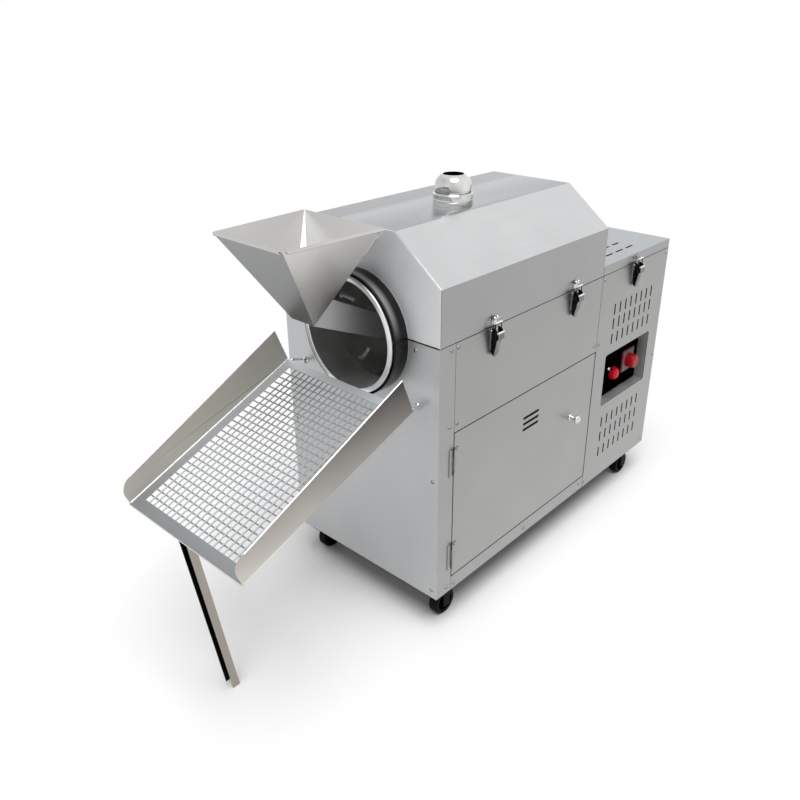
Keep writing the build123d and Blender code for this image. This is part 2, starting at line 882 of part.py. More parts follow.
def latch_keeper(along):
    block(
        (along - keeper_half, along + keeper_half),
        (near_y - keeper_lip, near_y),
        (seam_z + keeper_low, seam_z + keeper_high),
    )
    block(
        (along - keeper_half, along + keeper_half),
        (near_y - keeper_reach, near_y - keeper_lip),
        (seam_z + keeper_shelf_low, seam_z + keeper_shelf_high),
    )
    block(
        (along - keeper_half, along + keeper_half),
        (near_y - keeper_reach, near_y - keeper_reach + keeper_lip),
        (seam_z + keeper_shelf_high, seam_z + keeper_lip_high),
    )


def latch_lever(along):
    # The side view lists (distance out from the skin, height from the pivot).
    side_view = [(4, 4), (12, 4), (20, -8), (9, -lever_length), (6, -lever_length), (3, -8)]
    outline = [(near_y - out, latch_pivot_z + height) for out, height in side_view]
    with BuildPart() as lever:
        yz_prism(outline, along - lever_half, along + lever_half)
        rod(
            (along - lever_half, latch_pivot_y, latch_pivot_z),
            (along + lever_half, latch_pivot_y, latch_pivot_z),
            latch_pin_radius + running_clearance,
            Mode.SUBTRACT,
        )
        rod(
            (along - lever_half, bail_y, bail_z),
            (along + lever_half, bail_y, bail_z),
            bail_wire + running_clearance,
            Mode.SUBTRACT,
        )
    return lever.part


def latch_bail(along):
    with BuildPart() as bail:
        for bar_z in (bail_z, bail_top_z):
            rod((along - bail_half, bail_y, bar_z), (along + bail_half, bail_y, bar_z), bail_wire)
        for side in (-1, 1):
            leg_x = along + side * bail_half
            rod((leg_x, bail_y, bail_z), (leg_x, bail_y, bail_top_z), bail_wire)
            for bar_z in (bail_z, bail_top_z):
                with Locations((leg_x, bail_y, bar_z)):
                    Sphere(bail_wire)
    return bail.part


with BuildPart() as latch_bases:
    for latch_x in latch_places.values():
        latch_base(latch_x)
save(latch_bases.part, "latch_bases")

with BuildPart() as latch_keepers:
    for latch_name in ("front", "rear"):
        latch_keeper(latch_places[latch_name])
save(latch_keepers.part, "latch_keepers")

for latch_name, latch_x in latch_places.items():
    save(latch_lever(latch_x), f"latch_lever_{latch_name}")
    save(latch_bail(latch_x), f"latch_bail_{latch_name}")

# Control cabinet lid: a shallow pan with vent slots, its own keeper and hinge leaves.
top_slot_length = 36
top_slot_width = 6
top_slot_pitch_x = 51
top_slot_pitch_y = 39
top_slot_x = main_end_x + 98
top_slot_y = near_y + 43
top_slot_columns = 3
top_slot_rows = 10
with BuildPart() as control_lid:
    block((control_start_x, rear_x), (near_y, far_y), (lid_base_z, control_top_z))
    block(
        (control_start_x, rear_x - sheet),
        (near_inside, far_inside),
        (lid_base_z, control_top_z - sheet),
        Mode.SUBTRACT,
    )
    with BuildSketch(Plane.XY.offset(control_top_z)):
        for slot_column in range(top_slot_columns):
            for slot_row in range(top_slot_rows):
                with Locations(
                    (top_slot_x + top_slot_pitch_x * slot_column, top_slot_y + top_slot_pitch_y * slot_row)
                ):
                    SlotOverall(top_slot_length, top_slot_width)
    extrude(amount=-sheet, mode=Mode.SUBTRACT)
    latch_keeper(latch_places["control"])
    for hinge_x in control_hinge_places:
        moving_hinge(lid_hinge_plane(hinge_x))
save(control_lid.part, "control_lid")

# Door: a flat sheet with a folded stiffener frame inside and plain vent slots.
stiffener_inset = 16
stiffener_depth = 12
stiffener_hinge_gap = 12
stiffener_post_gap = 6
stiffener_start_x = panel_start_x + stiffener_hinge_gap
stiffener_end_x = middle_tube[0] - stiffener_post_gap
door_vent_x = front_x + 332
door_vent_z = base_z + 319
door_vent_length = 64
door_vent_width = 7
door_vent_pitch = 15
with BuildPart() as door:
    block((panel_start_x, panel_end_x), (near_y, near_inside), (rail_top_z, door_top_z))
    block(
        (stiffener_start_x, stiffener_end_x),
        (near_inside, near_inside + stiffener_depth),
        (rail_top_z + stiffener_inset, door_top_z - stiffener_inset),
    )
    block(
        (stiffener_start_x + sheet, stiffener_end_x - sheet),
        (near_inside, near_inside + stiffener_depth),
        (rail_top_z + stiffener_inset + sheet, door_top_z - stiffener_inset - sheet),
        Mode.SUBTRACT,
    )
    with BuildSketch(Plane.XZ.offset(-near_y)):
        for vent in (-1, 0, 1):
            with Locations((door_vent_x, door_vent_z + door_vent_pitch * vent)):
                SlotOverall(door_vent_length, door_vent_width)
    extrude(amount=-sheet, mode=Mode.SUBTRACT)
save(door.part, "door")

knob_x = main_end_x - 98
knob_z = base_z + 256
knob_stem_radius = 8
knob_neck = 16
knob_reach = 35
knob_head_radius = 13.5
knob_edge = 7
knob_rim = 3
knob_foot_radius = 10
knob_crown = (8, 2.07 - knob_reach)
with BuildPart() as door_knob:
    with BuildSketch(Plane(origin=(knob_x, near_y, knob_z), x_dir=(1, 0, 0), z_dir=(0, 0, 1))):
        with BuildLine():
            Polyline(
                (knob_head_radius, -knob_reach + knob_edge),
                (knob_head_radius, -knob_reach + knob_edge + knob_rim),
                (knob_stem_radius, -knob_neck),
                (knob_foot_radius, 0),
                (0, 0),
                (0, -knob_reach),
            )
            ThreePointArc(
                (0, -knob_reach),
                knob_crown,
                (knob_head_radius, -knob_reach + knob_edge),
            )
        make_face()
    revolve(axis=Axis((knob_x, near_y, knob_z), (0, 1, 0)))
save(door_knob.part, "door_knob")

# Hopper: a tapered funnel over a sloping open chute that reaches into the drum mouth.
rim_back_x = front_x - hopper_back
rim_front_x = front_x - hopper_front
outlet_back = (front_x - 107, seam_z + 88)
chute_toe = (front_x - 152, seam_z + 46)
chute_floor_slope = -0.4424
chute_edge_slope = -0.508
chute_end_x = front_x + chute_inside
hem_width = 4
hem_height = 5
rim_wall = 1.65
floor_wall = 1.65
hanger_half = 60
hanger_drop = 45
peg_clearance = 0.3
outlet_length = hypot(outlet_back[0] - chute_toe[0], outlet_back[1] - chute_toe[1])
outlet_tilt = atan2(outlet_back[1] - chute_toe[1], outlet_back[0] - chute_toe[0])
outlet_plane = Plane(
    origin=((chute_toe[0] + outlet_back[0]) / 2, 0, (chute_toe[1] + outlet_back[1]) / 2),
    x_dir=(cos(outlet_tilt), 0, sin(outlet_tilt)),
    z_dir=(-sin(outlet_tilt), 0, cos(outlet_tilt)),
)


def rim_points(extra):
    return [
        (rim_back_x + extra, -hopper_back_half - extra),
        (rim_back_x + extra, hopper_back_half + extra),
        (rim_front_x - extra, hopper_front_half + extra),
        (rim_front_x - extra, -hopper_front_half - extra),
    ]


def outlet_points(extra):
    half = chute_half + extra
    reach = outlet_length / 2 + extra
    return [(reach, -half), (reach, half), (-reach, half), (-reach, -half)]


def chute_floor(x):
    return chute_toe[1] + chute_floor_slope * (x - chute_toe[0])


def chute_edge(x):
    return outlet_back[1] + chute_edge_slope * (x - outlet_back[0])


chute_outline = [
    chute_toe,
    outlet_back,
    (chute_end_x, chute_edge(chute_end_x)),
    (chute_end_x, chute_floor(chute_end_x)),
]
toe_wall = 2.5
lip_wall = 2.2
over_cut = 3
chute_hollow = [
    (chute_toe[0] + toe_wall, chute_floor(chute_toe[0] + toe_wall) + floor_wall),
    (chute_toe[0] + lip_wall, chute_toe[1] + over_cut),
    (outlet_back[0], outlet_back[1] + over_cut),
    (chute_end_x + over_cut, chute_edge(chute_end_x) + over_cut),
    (chute_end_x + over_cut, chute_floor(chute_end_x + over_cut) + floor_wall),
]
with BuildPart() as hopper:
    with BuildSketch(Plane.XY.offset(hopper_rim_z)):
        with BuildLine():
            Polyline(*rim_points(0), close=True)
        make_face()
    with BuildSketch(outlet_plane):
        with BuildLine():
            Polyline(*outlet_points(0), close=True)
        make_face()
    loft(ruled=True)
    with BuildSketch(Plane.XY.offset(hopper_rim_z - hem_height)):
        with BuildLine():
            Polyline(*rim_points(hem_width), close=True)
        make_face()
    extrude(amount=hem_height)
    xz_prism(chute_outline, -chute_half, chute_half)
    with BuildSketch(Plane.XY.offset(hopper_rim_z)):
        with BuildLine():
            Polyline(*rim_points(-rim_wall), close=True)
        make_face()
    with BuildSketch(outlet_plane):
        with BuildLine():
            Polyline(*outlet_points(-sheet), close=True)
        make_face()
    loft(ruled=True, mode=Mode.SUBTRACT)
    xz_prism(chute_hollow, sheet - chute_half, chute_half - sheet, Mode.SUBTRACT)
    block(
        (rim_back_x, rim_back_x + sheet),
        (-hanger_half, hanger_half),
        (hopper_rim_z - hanger_drop, hopper_rim_z - hem_height),
    )
    for peg_y in (-peg_half_spacing, peg_half_spacing):
        rod(
            (rim_back_x, peg_y, peg_z),
            (rim_back_x + sheet, peg_y, peg_z),
            peg_radius + peg_clearance,
            Mode.SUBTRACT,
        )
save(hopper.part, "hopper")

# Tray: local x runs down the slope, local z stands off the floor of the tray.
tray_stand = 48
tray_drop = 118.5
tray_plane = Plane(
    origin=(front_x - tray_stand, 0, seam_z - tray_drop),
    x_dir=(-cos(radians(tray_slope)), 0, -sin(radians(tray_slope))),
    z_dir=(-sin(radians(tray_slope)), 0, cos(radians(tray_slope))),
)
window_start = 19
window_end = tray_length - 22.5
window_upper_half = 162
window_lower_half = 154
tray_corner = 30
tray_lip_radius = 3
leg_pivot_along = tray_length - 7.5
leg_offset = -7.3
leg_pivot_drop = 15
leg_half_width = 13.5
leg_half_depth = 8
leg_head = 6
leg_pin_radius = 3
leg_foot_clearance = 0.5
leg_lean = 8.2
lug_gap = 1
lug_thickness = 3
lug_half = 8
lug_reach = 22


def tray_point(along, across, height):
    return tray_plane.from_local_coords(Vector(along, across, height))


with BuildPart() as tray_pan:
    with BuildSketch(tray_plane):
        with BuildLine():
            Polyline(
                (0, -tray_upper_half),
                (tray_length, -tray_lower_half),
                (tray_length, tray_lower_half),
                (0, tray_upper_half),
                close=True,
            )
        make_face()
        with BuildLine():
            Polyline(
                (window_start, -window_upper_half),
                (window_end, -window_lower_half),
                (window_end, window_lower_half),
                (window_start, window_upper_half),
                close=True,
            )
        make_face(mode=Mode.SUBTRACT)
    extrude(amount=-sheet)
    for side in (-1, 1):
        wall_start = tray_point(0, side * tray_upper_half, -sheet)
        wall_path = tray_point(tray_length, side * tray_lower_half, -sheet) - wall_start
        wall_plane = Plane(origin=wall_start, x_dir=wall_path, z_dir=wall_path.cross(tray_plane.z_dir))
        with BuildSketch(wall_plane):
            with BuildLine():
                Polyline(
                    (0, 0),
                    (0, tray_wall_upper + sheet),
                    (wall_path.length, tray_wall_lower + sheet),
                    (wall_path.length, 0),
                    close=True,
                )
            make_face()
            wall_corner = vertices().sort_by(Axis.X)[-2:].sort_by(Axis.Y)[-1]
            fillet(wall_corner, radius=tray_corner)
        extrude(amount=side * sheet)
    rod(
        tray_point(tray_length, -tray_lower_half, -tray_lip_radius),
        tray_point(tray_length, tray_lower_half, -tray_lip_radius),
        tray_lip_radius,
    )
    for side in (-1, 1):
        lug_y = leg_offset + side * (leg_half_width + lug_gap + lug_thickness / 2)
        lug_plane = Plane(
            origin=tray_point(leg_pivot_along, lug_y, -sheet - lug_reach / 2),
            x_dir=tray_plane.x_dir,
            z_dir=tray_plane.z_dir,
        )
        with Locations(lug_plane):
            Box(2 * lug_half, lug_thickness, lug_reach)
    pin_reach = leg_half_width + lug_gap + lug_thickness
    rod(
        tray_point(leg_pivot_along, leg_offset - pin_reach, -leg_pivot_drop),
        tray_point(leg_pivot_along, leg_offset + pin_reach, -leg_pivot_drop),
        leg_pin_radius + running_clearance,
        Mode.SUBTRACT,
    )
save(tray_pan.part, "tray_pan")

# Net of the tray, in the window with a small gap all round.
net_gap = 0.3
net_wire = 3
net_columns = 20
net_rows = 14
net_length = window_end - window_start - 2 * net_gap
net_half_upper = window_upper_half - net_gap
net_half_lower = window_lower_half - net_gap
net_pitch_along = (net_length - net_wire) / net_columns
net_pitch_across = (2 * net_half_lower - net_wire) / net_rows
with BuildPart() as tray_mesh:
    with BuildSketch(tray_plane):
        with BuildLine():
            Polyline(
                (window_start + net_gap, -net_half_upper),
                (window_end - net_gap, -net_half_lower),
                (window_end - net_gap, net_half_lower),
                (window_start + net_gap, net_half_upper),
                close=True,
            )
        make_face()
        with Locations(((window_start + window_end) / 2, 0)):
            with GridLocations(net_pitch_along, net_pitch_across, net_columns, net_rows):
                Rectangle(net_pitch_along - net_wire, net_pitch_across - net_wire, mode=Mode.SUBTRACT)
    extrude(amount=-sheet)
save(tray_mesh.part, "tray_mesh")

# Screw eyes on the front plate and the wire hooks of the tray, which turn in them.
eye_half_spacing = 170
eye_stand = 12
eye_drop = 128
eye_radius = 6
eye_wire = 2
hook_wire = 1.8
hook_inner = 160
hook_outer = 178
hook_gap = 0.05
hook_bend = 6
hook_tip = 14
eye_x = front_x - eye_stand
eye_z = seam_z - eye_drop
with BuildPart() as tray_eyes:
    for side in (-1, 1):
        with Locations((eye_x, side * eye_half_spacing, eye_z)):
            Torus(eye_radius, eye_wire, rotation=(90, 0, 0))
        rod(
            (front_x, side * eye_half_spacing, eye_z),
            (eye_x + eye_radius, side * eye_half_spacing, eye_z),
            eye_wire,
        )
save(tray_eyes.part, "tray_eyes")

hook_height = -sheet - hook_wire - hook_gap
with BuildPart() as tray_hooks:
    for side in (-1, 1):
        turn = (eye_x, side * hook_outer, eye_z)
        bend = tray_point(-hook_bend, -side * hook_outer, hook_height)
        tip = tray_point(hook_tip, -side * hook_outer, hook_height)
        rod((eye_x, side * hook_inner, eye_z), turn, hook_wire)
        rod(turn, bend, hook_wire)
        rod(bend, tip, hook_wire)
        for joint in (turn, bend):
            with Locations(joint):
                Sphere(hook_wire)
save(tray_hooks.part, "tray_hooks")

# Leg: a folded channel on a pin under the lower edge of the tray.
leg_pivot = tray_point(leg_pivot_along, leg_offset, -leg_pivot_drop)
leg_down = (sin(radians(leg_lean)), 0, -cos(radians(leg_lean)))
leg_drop = leg_pivot.Z - leg_foot_clearance - leg_half_depth * sin(radians(leg_lean))
leg_length = leg_drop / cos(radians(leg_lean))
leg_top = leg_pivot - Vector(*leg_down) * leg_head
with BuildPart() as tray_leg:
    with BuildSketch(Plane(origin=leg_top, x_dir=(0, 1, 0), z_dir=leg_down)):
        Rectangle(2 * leg_half_width, 2 * leg_half_depth)
        with Locations((0, -sheet)):
            Rectangle(2 * (leg_half_width - sheet), 2 * leg_half_depth, mode=Mode.SUBTRACT)
    extrude(amount=leg_length + leg_head)
    rod(
        (leg_pivot.X, leg_pivot.Y - pin_reach, leg_pivot.Z),
        (leg_pivot.X, leg_pivot.Y + pin_reach, leg_pivot.Z),
        leg_pin_radius,
    )
save(tray_leg.part, "tray_leg")

# Casters: swivel forks at the front, rigid frames at the rear, four wheels.
caster_head_radius = 20
caster_gap = 0.3
crown_low_z = 68
crown_high_z = 74
crown_reach = 16
wheel_side_gap = 1
cheek_wall = 4
cheek_inner = wheel_width / 2 + wheel_side_gap
cheek_outer = cheek_inner + cheek_wall
cheek_half = 11
cheek_drop = 9
axle_radius = 4
rigid_column = 15
rigid_plate = 30
king_pin_tail = 2
wheel_edge = 4
swivel_top_z = base_z - caster_plate_thickness - caster_gap


def caster_yoke(head_x, wheel_x, wheel_y):
    block(
        (head_x - caster_head_radius, max(head_x + caster_head_radius, wheel_x + crown_reach)),
        (wheel_y - cheek_outer, wheel_y + cheek_outer),
        (crown_low_z, crown_high_z),
    )
    for side in (-1, 1):
        cheek_y = sorted((wheel_y + side * cheek_inner, wheel_y + side * cheek_outer))
        block(
            (wheel_x - cheek_half, wheel_x + cheek_half),
            tuple(cheek_y),
            (wheel_radius - cheek_drop, crown_low_z),
        )
    rod(
        (wheel_x, wheel_y - cheek_outer, wheel_radius),
        (wheel_x, wheel_y + cheek_outer, wheel_radius),
        axle_radius,
    )


def swivel_fork(place):
    with BuildPart() as fork:
        caster_yoke(place[0], place[0] + caster_trail, place[1])
        rod((*place, crown_high_z), (*place, swivel_top_z), caster_head_radius)
        rod((*place, swivel_top_z), (*place, base_z + king_pin_tail), king_pin_radius)
    return fork.part


def caster_wheel(wheel_x, wheel_y):
    low_y = wheel_y - wheel_width / 2
    high_y = wheel_y + wheel_width / 2
    with BuildPart() as wheel:
        rod((wheel_x, low_y, wheel_radius), (wheel_x, high_y, wheel_radius), wheel_radius)
        fillet(wheel.edges().filter_by(GeomType.CIRCLE), radius=wheel_edge)
        rod(
            (wheel_x, low_y, wheel_radius),
            (wheel_x, high_y, wheel_radius),
            axle_radius + running_clearance,
            Mode.SUBTRACT,
        )
    return wheel.part


rear_wheel_x = rear_x - caster_rear_inset
front_wheel_x = front_x + caster_inset + caster_trail
caster_sides = {"near": near_y + caster_inset, "far": far_y - caster_inset}
with BuildPart() as rigid_casters:
    for wheel_y in caster_sides.values():
        caster_yoke(rear_wheel_x, rear_wheel_x, wheel_y)
        block(
            (rear_wheel_x - rigid_column, rear_wheel_x + rigid_column),
            (wheel_y - rigid_column, wheel_y + rigid_column),
            (crown_high_z, base_z - caster_plate_thickness),
        )
        block(
            (rear_wheel_x - rigid_plate, rear_wheel_x + rigid_plate),
            (wheel_y - rigid_plate, wheel_y + rigid_plate),
            (base_z - caster_plate_thickness, base_z),
        )
save(rigid_casters.part, "rigid_casters")

for side_name, wheel_y in caster_sides.items():
    save(swivel_fork((front_x + caster_inset, wheel_y)), f"caster_fork_{side_name}")
    save(caster_wheel(front_wheel_x, wheel_y), f"wheel_front_{side_name}")
    save(caster_wheel(rear_wheel_x, wheel_y), f"wheel_rear_{side_name}")

# Dome screws of the skins: distance along X from a seam of the casing, then height above its underside.
screw_radius = 4
screw_height = 2.2
side_screws = {
    front_x: [(36, 587), (34, 420), (34, 15), (57, 588), (58, 420), (59, 12), (332, 15)],
    main_end_x: [(-10, 419), (-19, 20), (12, 418), (12, 587), (6, 15)],
    rear_x: [(-7, 587), (-9, 288), (-8, 12)],
}
front_screws = [(62, 582), (15, 301), (15, 20)]
screw_crown_radius = 2


def dome_screw(seat, outward):
    with Locations(Plane(origin=seat, z_dir=outward)):
        Cone(screw_radius, screw_crown_radius, screw_height, align=(Align.CENTER, Align.CENTER, Align.MIN))


with BuildPart() as panel_screws:
    for seam_x, screw_places in side_screws.items():
        for along, height in screw_places:
            dome_screw((seam_x + along, near_y, base_z + height), (0, -1, 0))
    for inset, height in front_screws:
        for screw_y in (near_y + inset, far_y - inset):
            dome_screw((front_x, screw_y, base_z + height), (-1, 0, 0))
save(panel_screws.part, "panel_screws")

# Cable gland on the far side, its bore ready for a supply cord.
gland_bore_radius = 5
gland_head_radius = 10
gland_head_height = 8
gland_tail = 8
with BuildPart() as cable_gland:
    rod((gland_x, far_y, gland_z), (gland_x, far_y + gland_head_height, gland_z), gland_head_radius)
    rod(
        (gland_x, far_inside - gland_tail, gland_z),
        (gland_x, far_y, gland_z),
        gland_thread_radius - running_clearance,
    )
    rod(
        (gland_x, far_inside - gland_tail, gland_z),
        (gland_x, far_y + gland_head_height, gland_z),
        gland_bore_radius,
        Mode.SUBTRACT,
    )
save(cable_gland.part, "cable_gland")
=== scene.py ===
import json
import math

import bmesh
import bpy
from mathutils import Matrix, Vector


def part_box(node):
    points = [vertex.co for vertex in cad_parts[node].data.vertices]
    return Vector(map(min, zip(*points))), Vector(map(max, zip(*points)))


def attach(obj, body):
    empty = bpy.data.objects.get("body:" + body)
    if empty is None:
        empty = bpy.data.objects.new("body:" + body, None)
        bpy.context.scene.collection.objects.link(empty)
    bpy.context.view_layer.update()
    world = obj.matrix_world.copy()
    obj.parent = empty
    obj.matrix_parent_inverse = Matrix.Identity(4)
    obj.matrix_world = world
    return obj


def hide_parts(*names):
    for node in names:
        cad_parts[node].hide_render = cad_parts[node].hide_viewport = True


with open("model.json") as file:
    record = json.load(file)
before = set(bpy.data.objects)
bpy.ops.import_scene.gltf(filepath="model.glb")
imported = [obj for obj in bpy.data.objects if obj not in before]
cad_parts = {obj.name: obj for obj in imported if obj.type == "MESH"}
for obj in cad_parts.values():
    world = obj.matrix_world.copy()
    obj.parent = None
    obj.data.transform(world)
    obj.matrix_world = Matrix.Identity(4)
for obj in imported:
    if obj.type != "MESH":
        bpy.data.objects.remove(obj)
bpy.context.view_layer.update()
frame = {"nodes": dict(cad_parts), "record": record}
nodes = frame["nodes"]
bodies = frame["record"]["behaviour"]["bodies"]
bodyOf = {node: body for body, members in bodies.items() for node in members}
mm = 0.001


# The corners of a node's box, in mm.
def boxMm(node):
    low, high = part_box(node)
    return low / mm, high / mm


def hexToLinear(text):
    channels = [int(text[i:i + 2], 16) / 255 for i in (1, 3, 5)]
    linear = [c / 12.92 if c <= 0.04045 else ((c + 0.055) / 1.055) ** 2.4 for c in channels]
    return (*linear, 1.0)


def addNode(tree, kind, settings=None, inputs=None, stops=()):
    node = tree.nodes.new(kind)
    for name, value in (settings or {}).items():
        setattr(node, name, value)
    for key, value in (inputs or {}).items():
        value = value.outputs[0] if isinstance(value, bpy.types.Node) else value
        if isinstance(value, bpy.types.NodeSocket):
            tree.links.new(value, node.inputs[key])
        else:
            node.inputs[key].default_value = value
    for i, (place, colour) in enumerate(stops):
        elements = node.color_ramp.elements
        element = elements[i] if i < 2 else elements.new(place)
        element.position = place
        element.color = hexToLinear(colour)
    return node


# Materials

def newMaterial(name):
    material = bpy.data.materials.new(name)
    material.use_nodes = True
    tree = material.node_tree
    tree.nodes.clear()
    shader = addNode(tree, "ShaderNodeBsdfPrincipled")
    addNode(tree, "ShaderNodeOutputMaterial", inputs={"Surface": shader})
    place = addNode(tree, "ShaderNodeTexCoord").outputs["Object"]
    return material, tree, shader, place


# Satin pattern in mm; the grain is drawn coarser than the real 0.2 mm, which the render can't hold.
satinSizes = {
    "grain": 1.6,
    "grainRun": 300.0,
    "cloud": 170.0,
    "bumpDepth": 0.4,
    "bumpShare": 0.006,
    "sheenChange": 0.03,
}


# Stainless sheet, ground to a satin: a soft mirror with faint straight grain and broad, faint clouds.
# The foot scales the colour at the lower height of the fade: painted shade below 1, painted light above 1,
# standing in for the ground that the sheet mirrors.
def satinSteel(name, colours, roughness, grainAxis, foot=1.0, fade=(90, 690)):
    size = satinSizes
    material, tree, shader, place = newMaterial(name)
    stretch = [1 / (size["grain"] * mm)] * 3
    stretch["XYZ".index(grainAxis)] = 1 / (size["grainRun"] * mm)
    spread = addNode(tree, "ShaderNodeMapping", inputs={"Vector": place, "Scale": stretch})
    grain = addNode(tree, "ShaderNodeTexNoise", inputs={0: spread, "Scale": 1.0, "Detail": 3.0})
    cloudScale = 1 / (size["cloud"] * mm)
    cloud = addNode(tree, "ShaderNodeTexNoise", inputs={0: place, "Scale": cloudScale, "Detail": 2.0})
    mottle = addNode(tree, "ShaderNodeMix", inputs={"Factor": 0.6, 2: grain, 3: cloud})
    stops = [(0.3, colours[0]), (0.7, colours[1])]
    tint = addNode(tree, "ShaderNodeValToRGB", inputs={0: mottle}, stops=stops)
    # Painted shade or light by height: the colour goes from the foot at the low height to full at the high
    # height.
    height = addNode(tree, "ShaderNodeSeparateXYZ", inputs={0: place}).outputs["Z"]
    low, high = fade[0] * mm, fade[1] * mm
    light = addNode(tree, "ShaderNodeMapRange", inputs={0: height, 1: low, 2: high, 3: foot, 4: 1.0})
    shaded = addNode(tree, "ShaderNodeVectorMath", {"operation": "SCALE"}, {0: tint, "Scale": light})
    tree.links.new(shaded.outputs[0], shader.inputs["Base Color"])
    low, high = roughness - size["sheenChange"], roughness + size["sheenChange"]
    sheen = addNode(tree, "ShaderNodeMapRange", inputs={0: mottle, 1: 0.3, 2: 0.7, 3: low, 4: high})
    tree.links.new(sheen.outputs[0], shader.inputs["Roughness"])
    depth = size["bumpDepth"] * mm
    relief = {"Height": grain, "Distance": depth, "Strength": size["bumpShare"]}
    bump = addNode(tree, "ShaderNodeBump", inputs=relief)
    tree.links.new(bump.outputs[0], shader.inputs["Normal"])
    shader.inputs["Metallic"].default_value = 1.0
    return material


# Bare or plated steel without grain: blotches where handling, heat or plating has dulled it.
def blotchedMetal(name, colours, roughness, blotchMm, metallic=1.0):
    material, tree, shader, place = newMaterial(name)
    scale = 1 / (blotchMm * mm)
    blotch = addNode(tree, "ShaderNodeTexNoise", inputs={0: place, "Scale": scale, "Detail": 4.0})
    stops = [(0.3 + 0.4 * i / (len(colours) - 1), colour) for i, colour in enumerate(colours)]
    stops = [stops[0], stops[-1]] + stops[1:-1]
    tint = addNode(tree, "ShaderNodeValToRGB", inputs={0: blotch}, stops=stops)
    tree.links.new(tint.outputs[0], shader.inputs["Base Color"])
    low, high = max(roughness - 0.06, 0.03), roughness + 0.06
    sheen = addNode(tree, "ShaderNodeMapRange", inputs={0: blotch, 1: 0.3, 2: 0.7, 3: low, 4: high})
    tree.links.new(sheen.outputs[0], shader.inputs["Roughness"])
    shader.inputs["Metallic"].default_value = metallic
    return material


# Rolled collar, dark at both edges, with a painted highlight band round the upper half.
def highlightBandSteel(name, dark, bright, roughness, highlightBandMm, heightMm):
    material, tree, shader, place = newMaterial(name)
    axes = addNode(tree, "ShaderNodeSeparateXYZ", inputs={0: place})
    ease = {"interpolation_type": "SMOOTHSTEP"}
    across, height = axes.outputs["X"], axes.outputs["Z"]
    start, middle, end = (edge * mm for edge in highlightBandMm)
    rise = addNode(tree, "ShaderNodeMapRange", ease, {0: across, 1: start, 2: middle})
    fall = addNode(tree, "ShaderNodeMapRange", ease, {0: across, 1: end, 2: middle})
    low, high = (edge * mm for edge in heightMm)
    upper = addNode(tree, "ShaderNodeMapRange", ease, {0: height, 1: low, 2: high, 3: 0.1})
    band = addNode(tree, "ShaderNodeMath", {"operation": "MULTIPLY"}, {0: rise, 1: fall})
    share = addNode(tree, "ShaderNodeMath", {"operation": "MULTIPLY"}, {0: band, 1: upper})
    tint = addNode(tree, "ShaderNodeValToRGB", inputs={0: share}, stops=[(0.0, dark), (1.0, bright)])
    tree.links.new(tint.outputs[0], shader.inputs["Base Color"])
    shader.inputs["Roughness"].default_value = roughness
    shader.inputs["Metallic"].default_value = 1.0
    return material


# Moulded plastic, rubber or sprayed enamel: even colour with a fine pebble that breaks the gloss.
def mouldedSkin(name, colours, roughness, pebbleMm, relief, gloss=0.5):
    material, tree, shader, place = newMaterial(name)
    scale = 1 / (pebbleMm * mm)
    pebble = addNode(tree, "ShaderNodeTexNoise", inputs={0: place, "Scale": scale, "Detail": 2.0})
    stops = [(0.35, colours[0]), (0.65, colours[1])]
    tint = addNode(tree, "ShaderNodeValToRGB", inputs={0: pebble}, stops=stops)
    tree.links.new(tint.outputs[0], shader.inputs["Base Color"])
    dents = {"Height": pebble, "Distance": 0.2 * mm, "Strength": relief}
    bump = addNode(tree, "ShaderNodeBump", inputs=dents)
    tree.links.new(bump.outputs[0], shader.inputs["Normal"])
    shader.inputs["Roughness"].default_value = roughness
    shader.inputs["Specular IOR Level"].default_value = gloss
    return material


# Casing sheets, lit and shaded copies of one stainless: mid grey on the sides, and painted light on the
# front, which faces the light, making it paler and duller; the upper front is painted paler still.
# The sides are painted a little lighter low down, the front a little darker.
sideSteel = satinSteel("stainlessSatinSides", ("#9b9b9a", "#a3a3a2"), 0.38, "X", foot=1.1)
frontSteel = satinSteel("stainlessSatinFront", ("#bcbdbe", "#c5c6c7"), 0.55, "Z", foot=0.94)
frontUpperSteel = satinSteel("stainlessSatinUpperFront", ("#dadbdd", "#e3e4e6"), 0.68, "Z")
# Lid: copies of one sheet with painted reflections: the sloped sheet is painted with the bright sky it
# mirrors, the top with a cooler sky, the wall with the darker room.
slopeSteel = satinSteel("stainlessLidSlope", ("#cbcccd", "#d5d6d7"), 0.24, "X")
lidTopSteel = satinSteel("stainlessLidTop", ("#a6aaad", "#b0b4b7"), 0.24, "X")
lidWallSteel = satinSteel("stainlessLidWall", ("#9a9a9b", "#a3a3a4"), 0.3, "X")
# Hopper: lit and shaded copies of one sheet: painted light inside with a painted glint at the outlet, painted
# light on the warm sides and painted shade on the grey front, both painted darker downwards.
hopperSteel = satinSteel("stainlessHopperInside", ("#bebdbb", "#c9c8c6"), 0.36, "Z")
paintedGlintSteel = satinSteel("stainlessHopperPaintedGlint", ("#c4c4c3", "#cdcdcc"), 0.45, "Z")
hopperShadeSpan = (736, 914)
litSidePair, shadedFrontPair = ("#cecbc7", "#d6d4d0"), ("#848586", "#8d8e8f")
hopperSideSteel = satinSteel("stainlessHopperSides", litSidePair, 0.24, "Z", foot=0.62, fade=hopperShadeSpan)
hopperFrontSteel = satinSteel("stainlessHopperFront", shadedFrontPair, 0.34, "Z", foot=0.62, fade=hopperShadeSpan)
# Chute in the shade of the mouth: a dull grey copy, painted lighter than the outside around it, so it still
# reads against the dark drum.
chuteSteel = blotchedMetal("stainlessChute", ("#b6b7b8", "#c0c1c2"), 0.42, 60, metallic=0.77)
